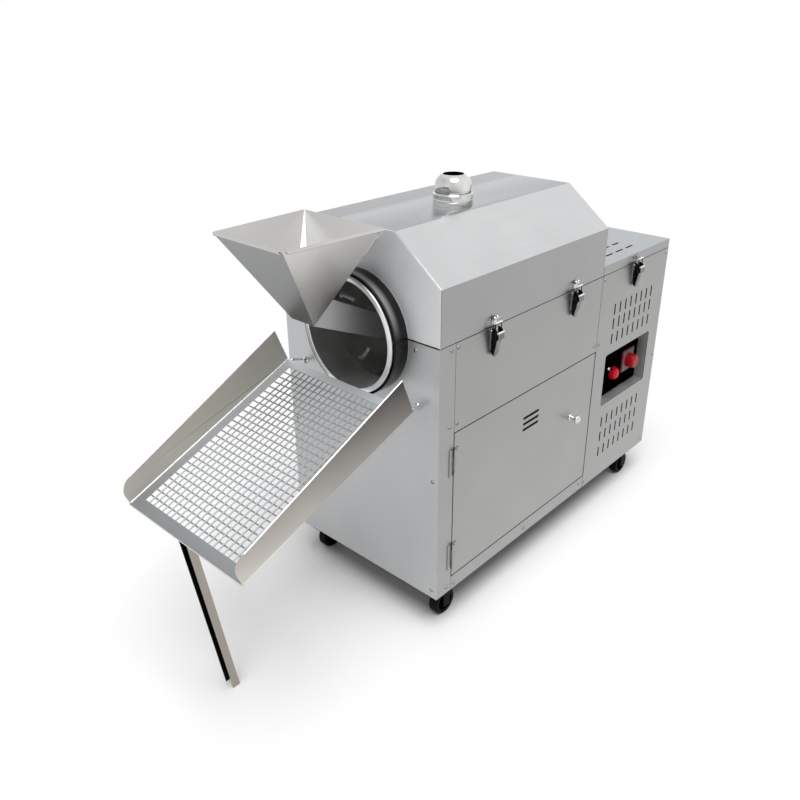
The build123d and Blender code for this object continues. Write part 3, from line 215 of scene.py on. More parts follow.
# Tray: copies of one sheet painted for light and shade: dark warm outer walls painted lighter down the slope,
# painted light on the inner walls, and a cool grey floor painted darker towards the lower end; a warm dull
# leg.
trayOutPair, trayLightSpan = ("#43413f", "#4c4a47"), (400, 640)
trayOutSteel = satinSteel("stainlessTrayOutside", trayOutPair, 0.45, "X", foot=9.5, fade=trayLightSpan)
trayInSteel = satinSteel("stainlessTrayInside", ("#c5c1ba", "#d1cdc6"), 0.68, "X")
trayRimPair = ("#c7cbcd", "#d1d5d7")
trayFloorSteel = satinSteel("stainlessGreyTrayFloor", trayRimPair, 0.62, "X", foot=0.4, fade=(400, 580))
legSteel = satinSteel("stainlessTrayLeg", ("#9d968e", "#a9a29a"), 0.45, "Z")
# Recess round the controls: dull, even grey.
recessSteel = satinSteel("stainlessRecess", ("#a8a8a8", "#b0b0b0"), 0.6, "X")
# Mirror-bright small parts, the turned ring with a softer shine, and the collar with its painted highlight
# band.
polishedSteel = blotchedMetal("polishedStainless", ("#d2d2d0", "#dededd"), 0.1, 30)
ringSteel = blotchedMetal("brightTurnedRing", ("#e0e1e2", "#ececed"), 0.34, 40)
collarSteel = highlightBandSteel("darkRolledCollar", "#2c2c2d", "#9a9a96", 0.3, (-281, -274, -258), (690, 750))
# Latch and hinge parts: sharp chrome, near-black painted shade for the sides, burnished faces, satin leaves.
chromedSteel = blotchedMetal("chromedPressing", ("#c4c4c4", "#d6d6d6"), 0.14, 12)
darkPressing = blotchedMetal("shadedPressing", ("#141414", "#2a2a2a"), 0.28, 12)
leverSteel = blotchedMetal("burnishedLever", ("#6e6e6d", "#949493"), 0.38, 14)
hingeSteel = blotchedMetal("satinHingeLeaf", ("#9a9a99", "#a8a8a7"), 0.34, 8)
# Screw heads a shade darker than the sheet, so their domes show; flue chrome with broad, sharp blotches of
# painted reflection.
screwSteel = blotchedMetal("domedScrewHead", ("#7e7f7e", "#969796"), 0.2, 6)
flueSteel = blotchedMetal("spunFlueChrome", ("#9c9c9a", "#d4d4d2", "#ececea"), 0.07, 55)
# Bright wire, folds and hems: near white, painted highlights; the net wire is greyer.
highlightWireSteel = blotchedMetal("paintedHighlightWire", ("#ececea", "#f6f6f4"), 0.3, 8, metallic=0.6)
wireSteel = blotchedMetal("weldedWireStainless", ("#96989a", "#a2a4a6"), 0.4, 20)
# Drum: brown-grey heat bloom outside, grain-polished inside, and bolts painted near white, painted light
# standing in for their shine against it.
heatedSteel = blotchedMetal("heatDulledSteel", ("#5d5a57", "#77736e", "#8a8680"), 0.36, 60)
drumColours = ("#d4d4d3", "#e2e2e1", "#ecebea")
grainPolishedSteel = blotchedMetal("grainPolishedDrum", drumColours, 0.38, 70, metallic=0.9)
boltSteel = blotchedMetal("brightMixingBolt", ("#fafaf8", "#fefefc"), 0.2, 6, metallic=0.1)
# Painted shade: nearly black, for sheet where little light reaches.
shadeSteel = blotchedMetal("paintedShadeSheet", ("#0d0d0d", "#161616"), 0.6, 40)
# Hidden works: dull mill scale, browned sheaths, oily chain and pebbled enamel.
millSteel = blotchedMetal("millFinishTube", ("#55565a", "#6b6c6e"), 0.45, 40)
elementSteel = blotchedMetal("heaterSheath", ("#3e3a36", "#5c4f45"), 0.5, 25)
chainSteel = blotchedMetal("oiledChainSteel", ("#2c2a27", "#47433d"), 0.3, 6)
motorPaint = mouldedSkin("hammeredGreyEnamel", ("#3d434a", "#4a5159"), 0.38, 3.0, 0.25)
# Plastics: matt black panel, warm grey plate, clear red and deeper red knobs, dull red frame.
blackPlastic = mouldedSkin("blackPanelPlastic", ("#030303", "#060606"), 0.55, 0.8, 0.05, gloss=0.0)
greyPlastic = mouldedSkin("greySwitchPlastic", ("#6b5f60", "#766a6b"), 0.42, 0.8, 0.06, gloss=0.25)
redPlastic = mouldedSkin("redKnobPlastic", ("#c00a20", "#d01028"), 0.3, 1.0, 0.03, gloss=0.25)
deepRedPlastic = mouldedSkin("deepRedSwitchPlastic", ("#96060f", "#a60916"), 0.34, 1.0, 0.04, gloss=0.25)
dullRedPlastic = mouldedSkin("dullRedFramePlastic", ("#6a2028", "#78262f"), 0.45, 1.0, 0.04)
# Rubber: matt black with a faint pebble.
tyreRubber = mouldedSkin("blackCasterRubber", ("#060606", "#0d0d0d"), 0.55, 1.5, 0.1, gloss=0.08)
print("materials done")


# Piece helpers

def meshFrom(name, points, faces):
    mesh = bpy.data.meshes.new(name)
    mesh.from_pydata([Vector(p) for p in points], [], faces)
    mesh.update()
    return mesh


def placeInScene(name, data):
    piece = bpy.data.objects.new(name, data)
    bpy.context.scene.collection.objects.link(piece)
    return piece


def evaluatedMesh(piece):
    bpy.context.view_layer.update()
    graph = bpy.context.evaluated_depsgraph_get()
    mesh = bpy.data.meshes.new_from_object(piece.evaluated_get(graph))
    bpy.data.objects.remove(piece)
    return mesh


# Normals are weighted by area, so a large flat sheet stays flat right up to its eased edges.
def finishPiece(name, body, mesh, materials, stands=(), sharp=35):
    indexes = [polygon.material_index for polygon in mesh.polygons]
    mesh.materials.clear()
    for material in materials:
        mesh.materials.append(material)
    mesh.polygons.foreach_set("material_index", indexes)
    mesh.shade_smooth()
    mesh.set_sharp_from_angle(angle=math.radians(sharp))
    draft = placeInScene(name + "Draft", mesh)
    shading = draft.modifiers.new("flatSheets", "WEIGHTED_NORMAL")
    shading.keep_sharp = True
    shading.weight = 100
    piece = placeInScene(name, evaluatedMesh(draft))
    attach(piece, body)
    if stands:
        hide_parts(*stands)
    return piece


# A copy of a CAD node with its triangles joined and its sheared or folded edges eased.
def easedMesh(name, node, edgeMm):
    shell = bmesh.new()
    shell.from_mesh(nodes[node].data)
    bmesh.ops.remove_doubles(shell, verts=shell.verts, dist=0.002 * mm)
    bmesh.ops.dissolve_limit(shell, angle_limit=math.radians(0.3), verts=shell.verts, edges=shell.edges)
    mesh = bpy.data.meshes.new(name)
    shell.to_mesh(mesh)
    shell.free()
    mesh.materials.clear()
    piece = placeInScene(name, mesh)
    bevel = piece.modifiers.new("easedEdge", "BEVEL")
    bevel.width = edgeMm * mm
    bevel.segments = 2
    bevel.limit_method = "ANGLE"
    bevel.angle_limit = math.radians(40)
    return evaluatedMesh(piece)


# Gives each face the finish that a rule picks from its middle, in mm, and its direction.
def paintFaces(mesh, rule):
    for polygon in mesh.polygons:
        polygon.material_index = int(rule(polygon.center / mm, polygon.normal))
    return mesh


def oneFinish(centre, normal):
    return 0


def easedPiece(name, node, materials, edgeMm, rule=oneFinish):
    mesh = paintFaces(easedMesh(name, node, edgeMm), rule)
    return finishPiece(name, bodyOf[node], mesh, materials, [node])


# Where another finish starts on a skin, in mm.
finishLimits = {
    "mouthAxisZ": 678.0,
    "frontX": -243.0,
    "collarStand": 0.8,
    "collarReach": 134.0,
    "slots": (420.0, 660.0),
    "latchY": -214.6,
    "legHalf": 8.0,
    "legSheet": 2.0,
}
mouthAxisZ, frontX = finishLimits["mouthAxisZ"], finishLimits["frontX"]
cabinetMiddle = sum(boxMm("control_shell"), Vector()) / 2


def onCollar(centre, normal):
    reach = math.hypot(centre.y, centre.z - mouthAxisZ)
    return centre.x < frontX - finishLimits["collarStand"] and reach < finishLimits["collarReach"]


# Inside faces of the shell get painted shade; the walls of the slots count as inside, so a slot reads dark
# over its whole width.
def insideCabinet(centre, normal):
    start, end = finishLimits["slots"]
    if abs(normal.y) < 0.6 and centre.y < cabinetMiddle.y and start < centre.x < end:
        return True
    return (cabinetMiddle - centre).dot(normal) > 0.3 * (cabinetMiddle - centre).length


# The front plate folds back into the near post, which gets the side copy with its painted shade; the collar
# gets its painted highlight band.
def frontFace(centre, normal):
    return 1 if onCollar(centre, normal) else 2 if normal.y < -0.7 else 0


# What stands out of the near wall is part of a latch.
def onLatch(centre, normal):
    return centre.y < finishLimits["latchY"]


# Picks the lid's painted-reflection copies by which way a face looks: slope, top, then wall; latch parts get
# the fourth finish.
def lidFace(centre, normal):
    if onLatch(centre, normal):
        return 3
    return 0 if 0.3 < normal.z < 0.9 else 1 if normal.z >= 0.9 else 2


# Faces inside the leg's channel get painted shade.
def insideLeg(centre, normal):
    low, high = boxMm("tray_leg")
    run = (centre.z - low.z) / (high.z - low.z)
    head, foot = low.x + finishLimits["legHalf"], high.x - finishLimits["legHalf"]
    axisX = foot + (head - foot) * run
    inwards = Vector((axisX, (low.y + high.y) / 2, centre.z)) - centre
    return inwards.dot(normal) > finishLimits["legSheet"]


# Parts whose CAD shape is right: node, finishes, eased edge in mm, and the rule for a second finish.
skins = {
    "frontPlateSkin": ("front_plate", [frontSteel, collarSteel, sideSteel], 0.5, frontFace),
    "frontUpperSkin": ("front_upper_plate", [frontUpperSteel, collarSteel], 0.5, onCollar),
    "controlShellSkin": ("control_shell", [sideSteel, shadeSteel], 0.4, insideCabinet),
    "sidePanelSkin": ("side_panel", [sideSteel], 0.5),
    "sideRailSkin": ("side_rail", [sideSteel], 0.5),
    "backPanelSkin": ("back_panel", [sideSteel], 0.5),
    "controlRecessPan": ("control_recess", [recessSteel], 0.4),
    "doorSkin": ("door", [sideSteel], 0.5),
    "lidSkin": ("lid", [slopeSteel, lidTopSteel, lidWallSteel], 0.7, lidFace),
    "controlLidSkin": ("control_lid", [slopeSteel, lidTopSteel, lidWallSteel, chromedSteel], 0.5, lidFace),
    "trayLegChannel": ("tray_leg", [legSteel, shadeSteel], 0.4, insideLeg),
    "baseFrameTubes": ("base_frame", [millSteel], 0.8),
    "bulkheadSheet": ("bulkhead", [sideSteel], 0.4),
    "drumLiner": ("liner", [heatedSteel], 0.3),
    "drumFlights": ("drum_flights", [grainPolishedSteel], 0.4),
    "drumShaft": ("drum_shaft", [millSteel], 0.5),
    "rearBearingBlock": ("rear_bearing", [millSteel], 1.0),
    "gearmotorBody": ("gearmotor", [motorPaint], 1.2),
    "cableGland": ("cable_gland", [blackPlastic], 0.4),
    "controlPlate": ("control_plate", [blackPlastic], 0.3),
    "drumSprocket": ("drum_sprocket", [millSteel], 0.3),
    "motorSprocket": ("motor_sprocket", [millSteel], 0.3),
    "rollerNear": ("roller_near", [millSteel], 0.4),
    "rollerFar": ("roller_far", [millSteel], 0.4),
    "hingeBases": ("hinge_bases", [hingeSteel], 0.3),
    "lidHingeLeaves": ("lid_hinge_leaves", [hingeSteel], 0.3),
    "doorHingeLeaves": ("door_hinge_leaves", [hingeSteel], 0.3),
    # Faces of the latch bases that stand out of the wall, the pivot ears, get painted shade to join the
    # levers' dark flanks.
    "latchBases": ("latch_bases", [sideSteel, darkPressing], 0.4, onLatch),
    "rigidCasterBrackets": ("rigid_casters", [tyreRubber], 0.5),
    "casterForkNear": ("caster_fork_near", [tyreRubber], 0.5),
    "casterForkFar": ("caster_fork_far", [tyreRubber], 0.5),
    "heatingElements": ("heating_elements", [elementSteel], 0.1),
    "drumBolts": ("drum_bolts", [boltSteel], 0.3),
}
for name, settings in skins.items():
    easedPiece(name, *settings)

# Bent wire is drawn a little stouter than its CAD rods.
stouter = {"trayEyes": ("tray_eyes", 0.7), "trayHooks": ("tray_hooks", 0.9)}
for name, (node, growMm) in stouter.items():
    mesh = easedMesh(name, node, 0.1)
    for vertex, normal in zip(mesh.vertices, [v.vector.copy() for v in mesh.vertex_normals]):
        vertex.co += normal * growMm * mm
    finishPiece(name, bodyOf[node], mesh, [chromedSteel], [node])
print("skins done:", len(skins))


def rectangle(left, right, low, high):
    return [(left, low), (right, low), (right, high), (left, high)]


# Rounds the corners of an outline; a point may carry its own radius as a third value.
def roundedOutline(points, radius, steps=4):
    result = []
    for i, point in enumerate(points):
        here = Vector(point[:2])
        bend = point[2] if len(point) > 2 else radius
        if bend == 0:
            result.append(tuple(here))
            continue
        before = Vector(points[i - 1][:2]) - here
        after = Vector(points[(i + 1) % len(points)][:2]) - here
        half = before.angle(after) / 2
        cut = min(bend / math.tan(half), 0.48 * before.length, 0.48 * after.length)
        middle = here + (before.normalized() + after.normalized()).normalized() * cut / math.cos(half)
        first = here + before.normalized() * cut - middle
        last = here + after.normalized() * cut - middle
        start = math.atan2(first.y, first.x)
        turn = (math.atan2(last.y, last.x) - start + math.pi) % (2 * math.pi) - math.pi
        for step in range(steps + 1):
            angle = start + turn * step / steps
            result.append(tuple(middle + first.length * Vector((math.cos(angle), math.sin(angle)))))
    return result


def bmeshToMesh(name, shell):
    bmesh.ops.recalc_face_normals(shell, faces=shell.faces)
    mesh = bpy.data.meshes.new(name)
    shell.to_mesh(mesh)
    shell.free()
    return mesh


# Turns (distance along the axis, radius) points in mm about an axis; closed profiles make rings.
def turnedMesh(name, origin, axis, profile, steps=64, closed=True):
    axis = Vector(axis).normalized()
    side = axis.orthogonal().normalized()
    other = axis.cross(side)
    turns = [2 * math.pi * i / steps for i in range(steps)]
    spokes = [side * math.cos(turn) + other * math.sin(turn) for turn in turns]
    shell = bmesh.new()
    rings = []
    for along, radius in profile:
        centre = (Vector(origin) + axis * along) * mm
        spread = spokes if radius > 0 else spokes[:1]
        rings.append([shell.verts.new(centre + spoke * radius * mm) for spoke in spread])
    followers = rings[1:] + (rings[:1] if closed else [])
    for ring, following in zip(rings, followers):
        if len(ring) + len(following) == 2:
            continue
        for i in range(steps):
            j = (i + 1) % steps
            corners = [ring[i % len(ring)], ring[j % len(ring)]]
            corners += [following[j % len(following)], following[i % len(following)]]
            shell.faces.new(list(dict.fromkeys(corners)))
    return bmeshToMesh(name, shell)


# One mesh out of several, each painted with the material of the given index.
def joinedMesh(name, parts):
    shell = bmesh.new()
    for mesh, index in parts:
        first = len(shell.faces)
        shell.from_mesh(mesh)
        shell.faces.ensure_lookup_table()
        for face in shell.faces[first:]:
            face.material_index = index
        bpy.data.meshes.remove(mesh)
    joined = bpy.data.meshes.new(name)
    shell.to_mesh(joined)
    shell.free()
    return joined


# Closed loops of equal length, in mm, joined one to the next and capped at both ends.
def loftMesh(name, loops):
    shell = bmesh.new()
    rows = [[shell.verts.new(Vector(point) * mm) for point in loop] for loop in loops]
    count = len(rows[0])
    for row, following in zip(rows, rows[1:]):
        for i in range(count):
            j = (i + 1) % count
            shell.faces.new((row[i], row[j], following[j], following[i]))
    shell.faces.new(rows[0])
    shell.faces.new(rows[-1])
    return bmeshToMesh(name, shell)


# The mesh of a curve with straight runs through points in mm.
def curveMesh(name, lines, closed, settings):
    curve = bpy.data.curves.new(name, "CURVE")
    for key, value in settings.items():
        setattr(curve, key, value)
    for line in lines:
        spline = curve.splines.new("POLY")
        spline.points.add(len(line) - 1)
        for target, point in zip(spline.points, line):
            target.co = (*(Vector(point).to_3d() * mm), 1)
        spline.use_cyclic_u = closed
    return evaluatedMesh(placeInScene(name, curve))


# A round wire through points given in mm.
def wireMesh(name, points, radius, sides=3):
    tube = {"dimensions": "3D", "bevel_depth": radius * mm, "bevel_resolution": sides}
    return curveMesh(name, [points], False, {**tube, "use_fill_caps": True})


# A flat sheet with holes, its outline in mm; place turns its own x, y and thickness into the frame.
def plateMesh(name, outline, holes, thickness, place, edge=0.2, rounds=1):
    sheet = {"dimensions": "2D", "fill_mode": "BOTH", "extrude": (thickness / 2 - edge) * mm}
    rim = {"bevel_depth": edge * mm, "bevel_resolution": rounds, "offset": -edge * mm}
    mesh = curveMesh(name, [outline] + holes, True, {**sheet, **rim})
    mesh.transform(place)
    return mesh


def circle(x, y, radius, steps=24):
    turns = [2 * math.pi * i / steps for i in range(steps)]
    return [(x + radius * math.cos(turn), y + radius * math.sin(turn)) for turn in turns]


def placed(origin, xAxis, yAxis):
    xAxis, yAxis = Vector(xAxis).normalized(), Vector(yAxis).normalized()
    turn = Matrix((xAxis, yAxis, xAxis.cross(yAxis))).transposed().to_4x4()
    return Matrix.Translation(Vector(origin) * mm) @ turn


# One cross-section carried straight from a start to an end, both in mm; the section is (across, up).
def barMesh(name, section, start, end, up):
    along = (Vector(end) - Vector(start)).normalized()
    across = Vector(up).cross(along).normalized()
    rise = along.cross(across)
    loops = [[Vector(foot) + across * x + rise * z for x, z in section] for foot in (start, end)]
    return loftMesh(name, loops)


# Runs a geometry tree on a mesh with its named sizes and gives back a plain mesh.
def grownMesh(name, mesh, tree, values):
    piece = placeInScene(name, mesh)
    modifier = piece.modifiers.new("repeats", "NODES")
    modifier.node_group = tree
    for item in tree.interface.items_tree:
        if item.item_type == "SOCKET" and item.in_out == "INPUT" and item.name in values:
            modifier[item.identifier] = values[item.name]
    return evaluatedMesh(piece)


def newTree(name, sizes):
    tree = bpy.data.node_groups.new(name, "GeometryNodeTree")
    tree.interface.new_socket("Geometry", in_out="INPUT", socket_type="NodeSocketGeometry")
    for size, kind in sizes.items():
        tree.interface.new_socket(size, in_out="INPUT", socket_type="NodeSocket" + kind)
    tree.interface.new_socket("Geometry", in_out="OUTPUT", socket_type="NodeSocketGeometry")
    return tree, addNode(tree, "NodeGroupInput").outputs


# Ends a tree: a shape set on points, made real and painted.
def setOnPoints(tree, given, settings):
    shapes = addNode(tree, "GeometryNodeInstanceOnPoints", inputs=settings)
    solid = addNode(tree, "GeometryNodeRealizeInstances", inputs={0: shapes})
    painted = addNode(tree, "GeometryNodeSetMaterial", inputs={0: solid, "Material": given["Material"]})
    addNode(tree, "NodeGroupOutput", inputs={0: painted})
    return tree


# Points in mm, each carrying a direction for the shape that a tree sets on it.
def facingPoints(name, spots):
    points = meshFrom(name, [Vector(spot) * mm for spot, _ in spots], [])
    directions = points.attributes.new("facing", "FLOAT_VECTOR", "POINT")
    for i, (_, direction) in enumerate(spots):
        directions.data[i].vector = Vector(direction)
    return points


# Domed heads on the points of a mesh, each facing along the point's own direction.
def fastenerTree():
    kinds = {"Head radius": "Float", "Head height": "Float", "Material": "Material"}
    tree, given = newTree("domedHeads", kinds)
    ball = addNode(tree, "GeometryNodeMeshUVSphere", inputs={"Segments": 16, "Rings": 8, "Radius": 1.0})
    radius, height = given["Head radius"], given["Head height"]
    scale = addNode(tree, "ShaderNodeCombineXYZ", inputs={0: radius, 1: radius, 2: height})
    head = addNode(tree, "GeometryNodeTransform", inputs={"Geometry": ball, "Scale": scale})
    vectors = {"data_type": "FLOAT_VECTOR"}
    facing = addNode(tree, "GeometryNodeInputNamedAttribute", vectors, {"Name": "facing"})
    turn = addNode(tree, "FunctionNodeAlignRotationToVector", {"axis": "Z"}, {"Vector": facing})
    return setOnPoints(tree, given, {"Points": given["Geometry"], "Instance": head, "Rotation": turn})


def fastenerMesh(name, spots, radius, height, material):
    values = {"Head radius": radius * mm, "Head height": height * mm, "Material": material}
    return grownMesh(name, facingPoints(name, spots), domedHeads, values)


# A row of round bars lying across X, each shorter than the one before by the taper.
def barRowTree():
    kinds = {"Bars": "Int", "Pitch": "Float", "Bar length": "Float", "Bar radius": "Float"}
    tree, given = newTree("barRow", {**kinds, "Taper": "Float", "Material": "Material"})
    step = addNode(tree, "ShaderNodeCombineXYZ", inputs={0: given["Pitch"]})
    row = addNode(tree, "GeometryNodeMeshLine", inputs={"Count": given["Bars"], "Offset": step})
    index = addNode(tree, "GeometryNodeInputIndex")
    lost = addNode(tree, "ShaderNodeMath", {"operation": "MULTIPLY"}, {0: index, 1: given["Taper"]})
    full = given["Bar length"]
    length = addNode(tree, "ShaderNodeMath", {"operation": "SUBTRACT"}, {0: full, 1: lost})
    radius = given["Bar radius"]
    scale = addNode(tree, "ShaderNodeCombineXYZ", inputs={0: radius, 1: radius, 2: length})
    bar = addNode(tree, "GeometryNodeMeshCylinder", inputs={"Vertices": 8, "Radius": 1.0, "Depth": 1.0})
    across = (math.pi / 2, 0, 0)
    settings = {"Points": row, "Instance": bar, "Rotation": across, "Scale": scale}
    return setOnPoints(tree, given, settings)


domedHeads = fastenerTree()
barRow = barRowTree()


# Hopper: one folded sheet, creased from each back rim corner to the toe, with hems and riveted seams.
hopperSizes = {
    "hem": 4.0,
    "hemHeight": 4.6,
    "hemBend": 1.6,
    "hemStand": 0.4,
    "notch": 7.0,
    "rimBackHalf": 108.0,
    "rimFrontHalf": 97.0,
    "rimBackX": -283.5,
    "crease": 0.8,
    "paintedGlintFrom": -352.0,
    "paintedGlintUnder": 856.0,
    "toe": (-395.0, 736.0),
    "outletBack": (-350.0, 778.0),
    "chuteHalf": 32.0,
    "floorSlope": -0.4424,
    "edgeSlope": -0.508,
    "endRound": 14.0,
    "sheet": 1.5,
    "seamWidth": 9.0,
    "seamOut": 6.0,
    "seamSheet": 1.2,
    "seamRound": 3.0,
    "rivets": 4,
    "rivetRadius": 2.6,
    "rivetHeight": 1.8,
    "hangerHalf": 60.0,
    "hangerDrop": 45.0,
    "hangerRound": 8.0,
    "pegSpacing": 45.0,
    "pegDrop": 32.0,
    "pegHole": 5.4,
    "insideDrop": 40.0,
}


# Corner places of one half of the hopper; side is -1 for the operator's half.
def hopperCorners(side):
    size = hopperSizes
    low, high = boxMm("hopper")
    toeX, toeZ = size["toe"]
    backX, backZ = size["outletBack"]
    floorEndZ = toeZ + size["floorSlope"] * (high.x - toeX)
    edgeEndZ = backZ + size["edgeSlope"] * (high.x - backX)
    wall = [(toeX, toeZ, 0), (backX, backZ, 0), (high.x, edgeEndZ, size["endRound"])]
    wall.append((high.x, floorEndZ, 0))
    across = side * size["chuteHalf"]
    return {
        "rimBack": Vector((size["rimBackX"], side * size["rimBackHalf"], high.z)),
        "rimFront": Vector((low.x + size["hem"], side * size["rimFrontHalf"], high.z)),
        "toe": Vector((toeX, across, toeZ)),
        "wall": [Vector((x, across, z)) for x, z in roundedOutline(wall, 0)[1:]],
    }


def hopperSheet(near, far):
    crease = near["rimBack"].lerp(near["wall"][0], hopperSizes["crease"])
    sheets = [
        (near["rimFront"], near["toe"], far["toe"], far["rimFront"]),
        (near["rimBack"], far["rimBack"], crease),
        (crease, far["rimBack"], far["wall"][0], near["wall"][0]),
        (near["toe"], near["wall"][-1], far["wall"][-1], far["toe"]),
    ]
    for half in (near, far):
        sheets.append((half["rimBack"], half["toe"], half["rimFront"]))
        edge = [half["rimBack"], half["wall"][0], half["toe"]]
        sheets.append(edge[:1] + [crease] + edge[1:] if half is near else edge)
        sheets.append((half["toe"], *half["wall"]))
    shell = bmesh.new()
    for sheet in sheets:
        shell.faces.new([shell.verts.new(point * mm) for point in sheet])
    bmesh.ops.remove_doubles(shell, verts=shell.verts, dist=0.01 * mm)
    folded = bmeshToMesh("hopperSheet", shell)
    piece = placeInScene("hopperSheet", folded)
    inside = (near["rimFront"] + far["rimBack"]) / 2 * mm
    inside.z -= hopperSizes["insideDrop"] * mm
    front = folded.polygons[0]
    wall = piece.modifiers.new("sheetThickness", "SOLIDIFY")
    wall.thickness = hopperSizes["sheet"] * mm
    wall.offset = -1 if front.normal.dot(front.center - inside) > 0 else 1
    wall.use_even_offset = True
    return evaluatedMesh(piece)


# Faces that look down or sideways away from the middle are the outside of the funnel. Outside, the sides get
# painted light, the front painted shade and the chute a lighter copy; inside, the patch by the outlet gets a
# painted glint.
def hopperFace(centre, normal):
    sideways = normal.y * centre.y > 0
    outside = sideways if abs(normal.z) < 0.05 else normal.z < 0
    if not outside:
        glint = centre.x > hopperSizes["paintedGlintFrom"] and centre.z < hopperSizes["paintedGlintUnder"]
        return 3 if glint else 2
    chute = abs(normal.y) > 0.95 and centre.z < hopperSizes["outletBack"][1]
    return 4 if chute else 0 if abs(normal.y) > 0.5 else 1


# Folded hems along the side rims and the front rim.
def hopperHems(near, far):
    size = hopperSizes
    wide, tall = size["hem"] / 2, size["hemHeight"] / 2
    section = roundedOutline(rectangle(-wide, wide, -tall, tall), size["hemBend"])
    sunk = Vector((0, 0, size["hemStand"] - tall))
    runs = []
    for half, side in ((near, -1), (far, 1)):
        along = (half["rimFront"] - half["rimBack"]).normalized()
        shift = sunk + Vector((0, side * wide, 0))
        runs.append((half["rimBack"] + shift, half["rimFront"] - along * size["notch"] + shift))
    frontHalf = Vector((0, size["rimFrontHalf"] - size["notch"], 0))
    frontEdge = Vector((near["rimFront"].x - wide, 0, near["rimFront"].z)) + sunk
    runs.append((frontEdge - frontHalf, frontEdge + frontHalf))
    return [(barMesh("hopperHem", section, start, end, (0, 0, 1)), 0) for start, end in runs]


# A riveted strip down the back corner of one half, and the places of its rivets.
def hopperSeam(half, side):
    size = hopperSizes
    edge = half["wall"][0] - half["rimBack"]
    gap = 2 * size["hemHeight"]
    length = edge.length - 2 * gap
    edge.normalize()
    inward = half["toe"] - half["rimBack"]
    inward = (inward - edge * inward.dot(edge)).normalized()
    face = edge.cross(inward)
    face = face if face.y * side > 0 else -face
    width, sheet, bend = size["seamWidth"], size["seamSheet"], size["seamRound"]
    start = half["rimBack"] + edge * gap + face * sheet / 2 - inward * size["seamOut"]
    strip = roundedOutline([(0, 0, 0), (length, 0, 0), (length, width, bend), (0, width, bend)], 0)
    mesh = plateMesh("hopperSeam", strip, [], sheet, placed(start, edge, inward))
    first = start + inward * width / 2 + face * sheet / 2
    steps = [length * (i + 0.5) / size["rivets"] for i in range(size["rivets"])]
    return mesh, [(first + edge * step, face) for step in steps]


def hopperHanger(top):
    size = hopperSizes
    half, bend = size["hangerHalf"], size["hangerRound"]
    low, high = -size["hangerDrop"], -size["hemHeight"]
    outline = roundedOutline([(-half, low, bend), (half, low, bend), (half, high, 0), (-half, high, 0)], 0)
    holes = [circle(side * size["pegSpacing"], -size["pegDrop"], size["pegHole"]) for side in (-1, 1)]
    place = placed((size["rimBackX"] + size["sheet"] / 2, 0, top), (0, -1, 0), (0, 0, 1))
    return plateMesh("hopperHanger", outline, holes, size["sheet"], place)


def buildHopper():
    size = hopperSizes
    near, far = hopperCorners(-1), hopperCorners(1)
    parts = [(hopperSheet(near, far), 0), *hopperHems(near, far), (hopperHanger(near["rimBack"].z), 0)]
    rivets = []
    for half, side in ((near, -1), (far, 1)):
        strip, spots = hopperSeam(half, side)
        parts.append((strip, 0))
        rivets += spots
    funnel = paintFaces(joinedMesh("hopperFunnel", parts), hopperFace)
    finishes = [hopperSideSteel, hopperFrontSteel, hopperSteel, paintedGlintSteel, chuteSteel]
    finishPiece("hopperFunnel", "hopper", funnel, finishes, ["hopper"], sharp=5)
    heads = fastenerMesh("hopperRivets", rivets, size["rivetRadius"], size["rivetHeight"], darkPressing)
    finishPiece("hopperRivets", "hopper", heads, [darkPressing])


buildHopper()
print("hopper done")


# Tray: eased pan with painted-highlight wires along its folds and hems, a turned-down lip, and a welded net
# in its window.
traySizes = {
    "slope": 21.8,
    "upperEdge": (-291.0, 571.5),
    "length": 448.5,
    "upperHalf": 187.0,
    "lowerHalf": 177.5,
    "windowStart": 19.0,
    "windowEnd": 426.0,
    "windowUpperHalf": 162.0,
    "windowLowerHalf": 154.0,
    "netAcross": 21,
    "netAlong": 26,
    "netWire": 1.6,
    "netSink": 1.45,
    "netBite": 1.5,
    "sheet": 1.5,
    "lipLength": 8.0,
    "lipRadius": 3.4,
    "lipDrop": 7.0,
    "lipStand": 0.25,
    "lipUnder": 1.4,
    "lipInset": 0.2,
    "lipOut": 0.5,
    "foldRadius": 1.6,
    "foldStand": 0.3,
    "hemRadius": 1.3,
    "wallUpper": 81.5,
    "wallLower": 46.0,
    "wallCorner": 30.0,
}
trayRun = math.radians(traySizes["slope"])
trayDown = Vector((-math.cos(trayRun), 0, -math.sin(trayRun)))
trayUp = Vector((-math.sin(trayRun), 0, math.cos(trayRun)))


def trayPoint(along, across, height):
    x, z = traySizes["upperEdge"]
    return Vector((x, across, z)) + trayDown * along + trayUp * height


# Two layers of straight wires, the cross wires under the ones that run down the tray.
def trayNet():
    size = traySizes
    bite, wire, sink = size["netBite"], size["netWire"], size["netSink"]
    length = size["windowEnd"] - size["windowStart"] + 2 * bite
    upper, lower = size["windowUpperHalf"] + bite, size["windowLowerHalf"] + bite
    start = size["windowStart"] - bite
    pitch = length / size["netAlong"]
    values = {
        "Bars": size["netAlong"] - 1,
        "Pitch": pitch * mm,
        "Bar length": 2 * upper * mm,
        "Bar radius": wire * mm,
        "Taper": 2 * (upper - lower) / size["netAlong"] * mm,
        "Material": wireSteel,
    }
    cross = grownMesh("netCross", bpy.data.meshes.new("netCross"), barRow, values)
    cross.transform(placed(trayPoint(start + pitch, 0, -sink - 1.7 * wire), trayDown, (0, -1, 0)))
    pitch = 2 * lower / size["netAcross"]
    values.update({"Bars": size["netAcross"] - 1, "Pitch": pitch * mm})
    values.update({"Bar length": length * mm, "Taper": 0.0})
    runs = grownMesh("netRuns", bpy.data.meshes.new("netRuns"), barRow, values)
    runs.transform(placed(trayPoint(start + length / 2, pitch - lower, -sink), (0, 1, 0), trayDown))
    return joinedMesh("trayNet", [(cross, 0), (runs, 0)])


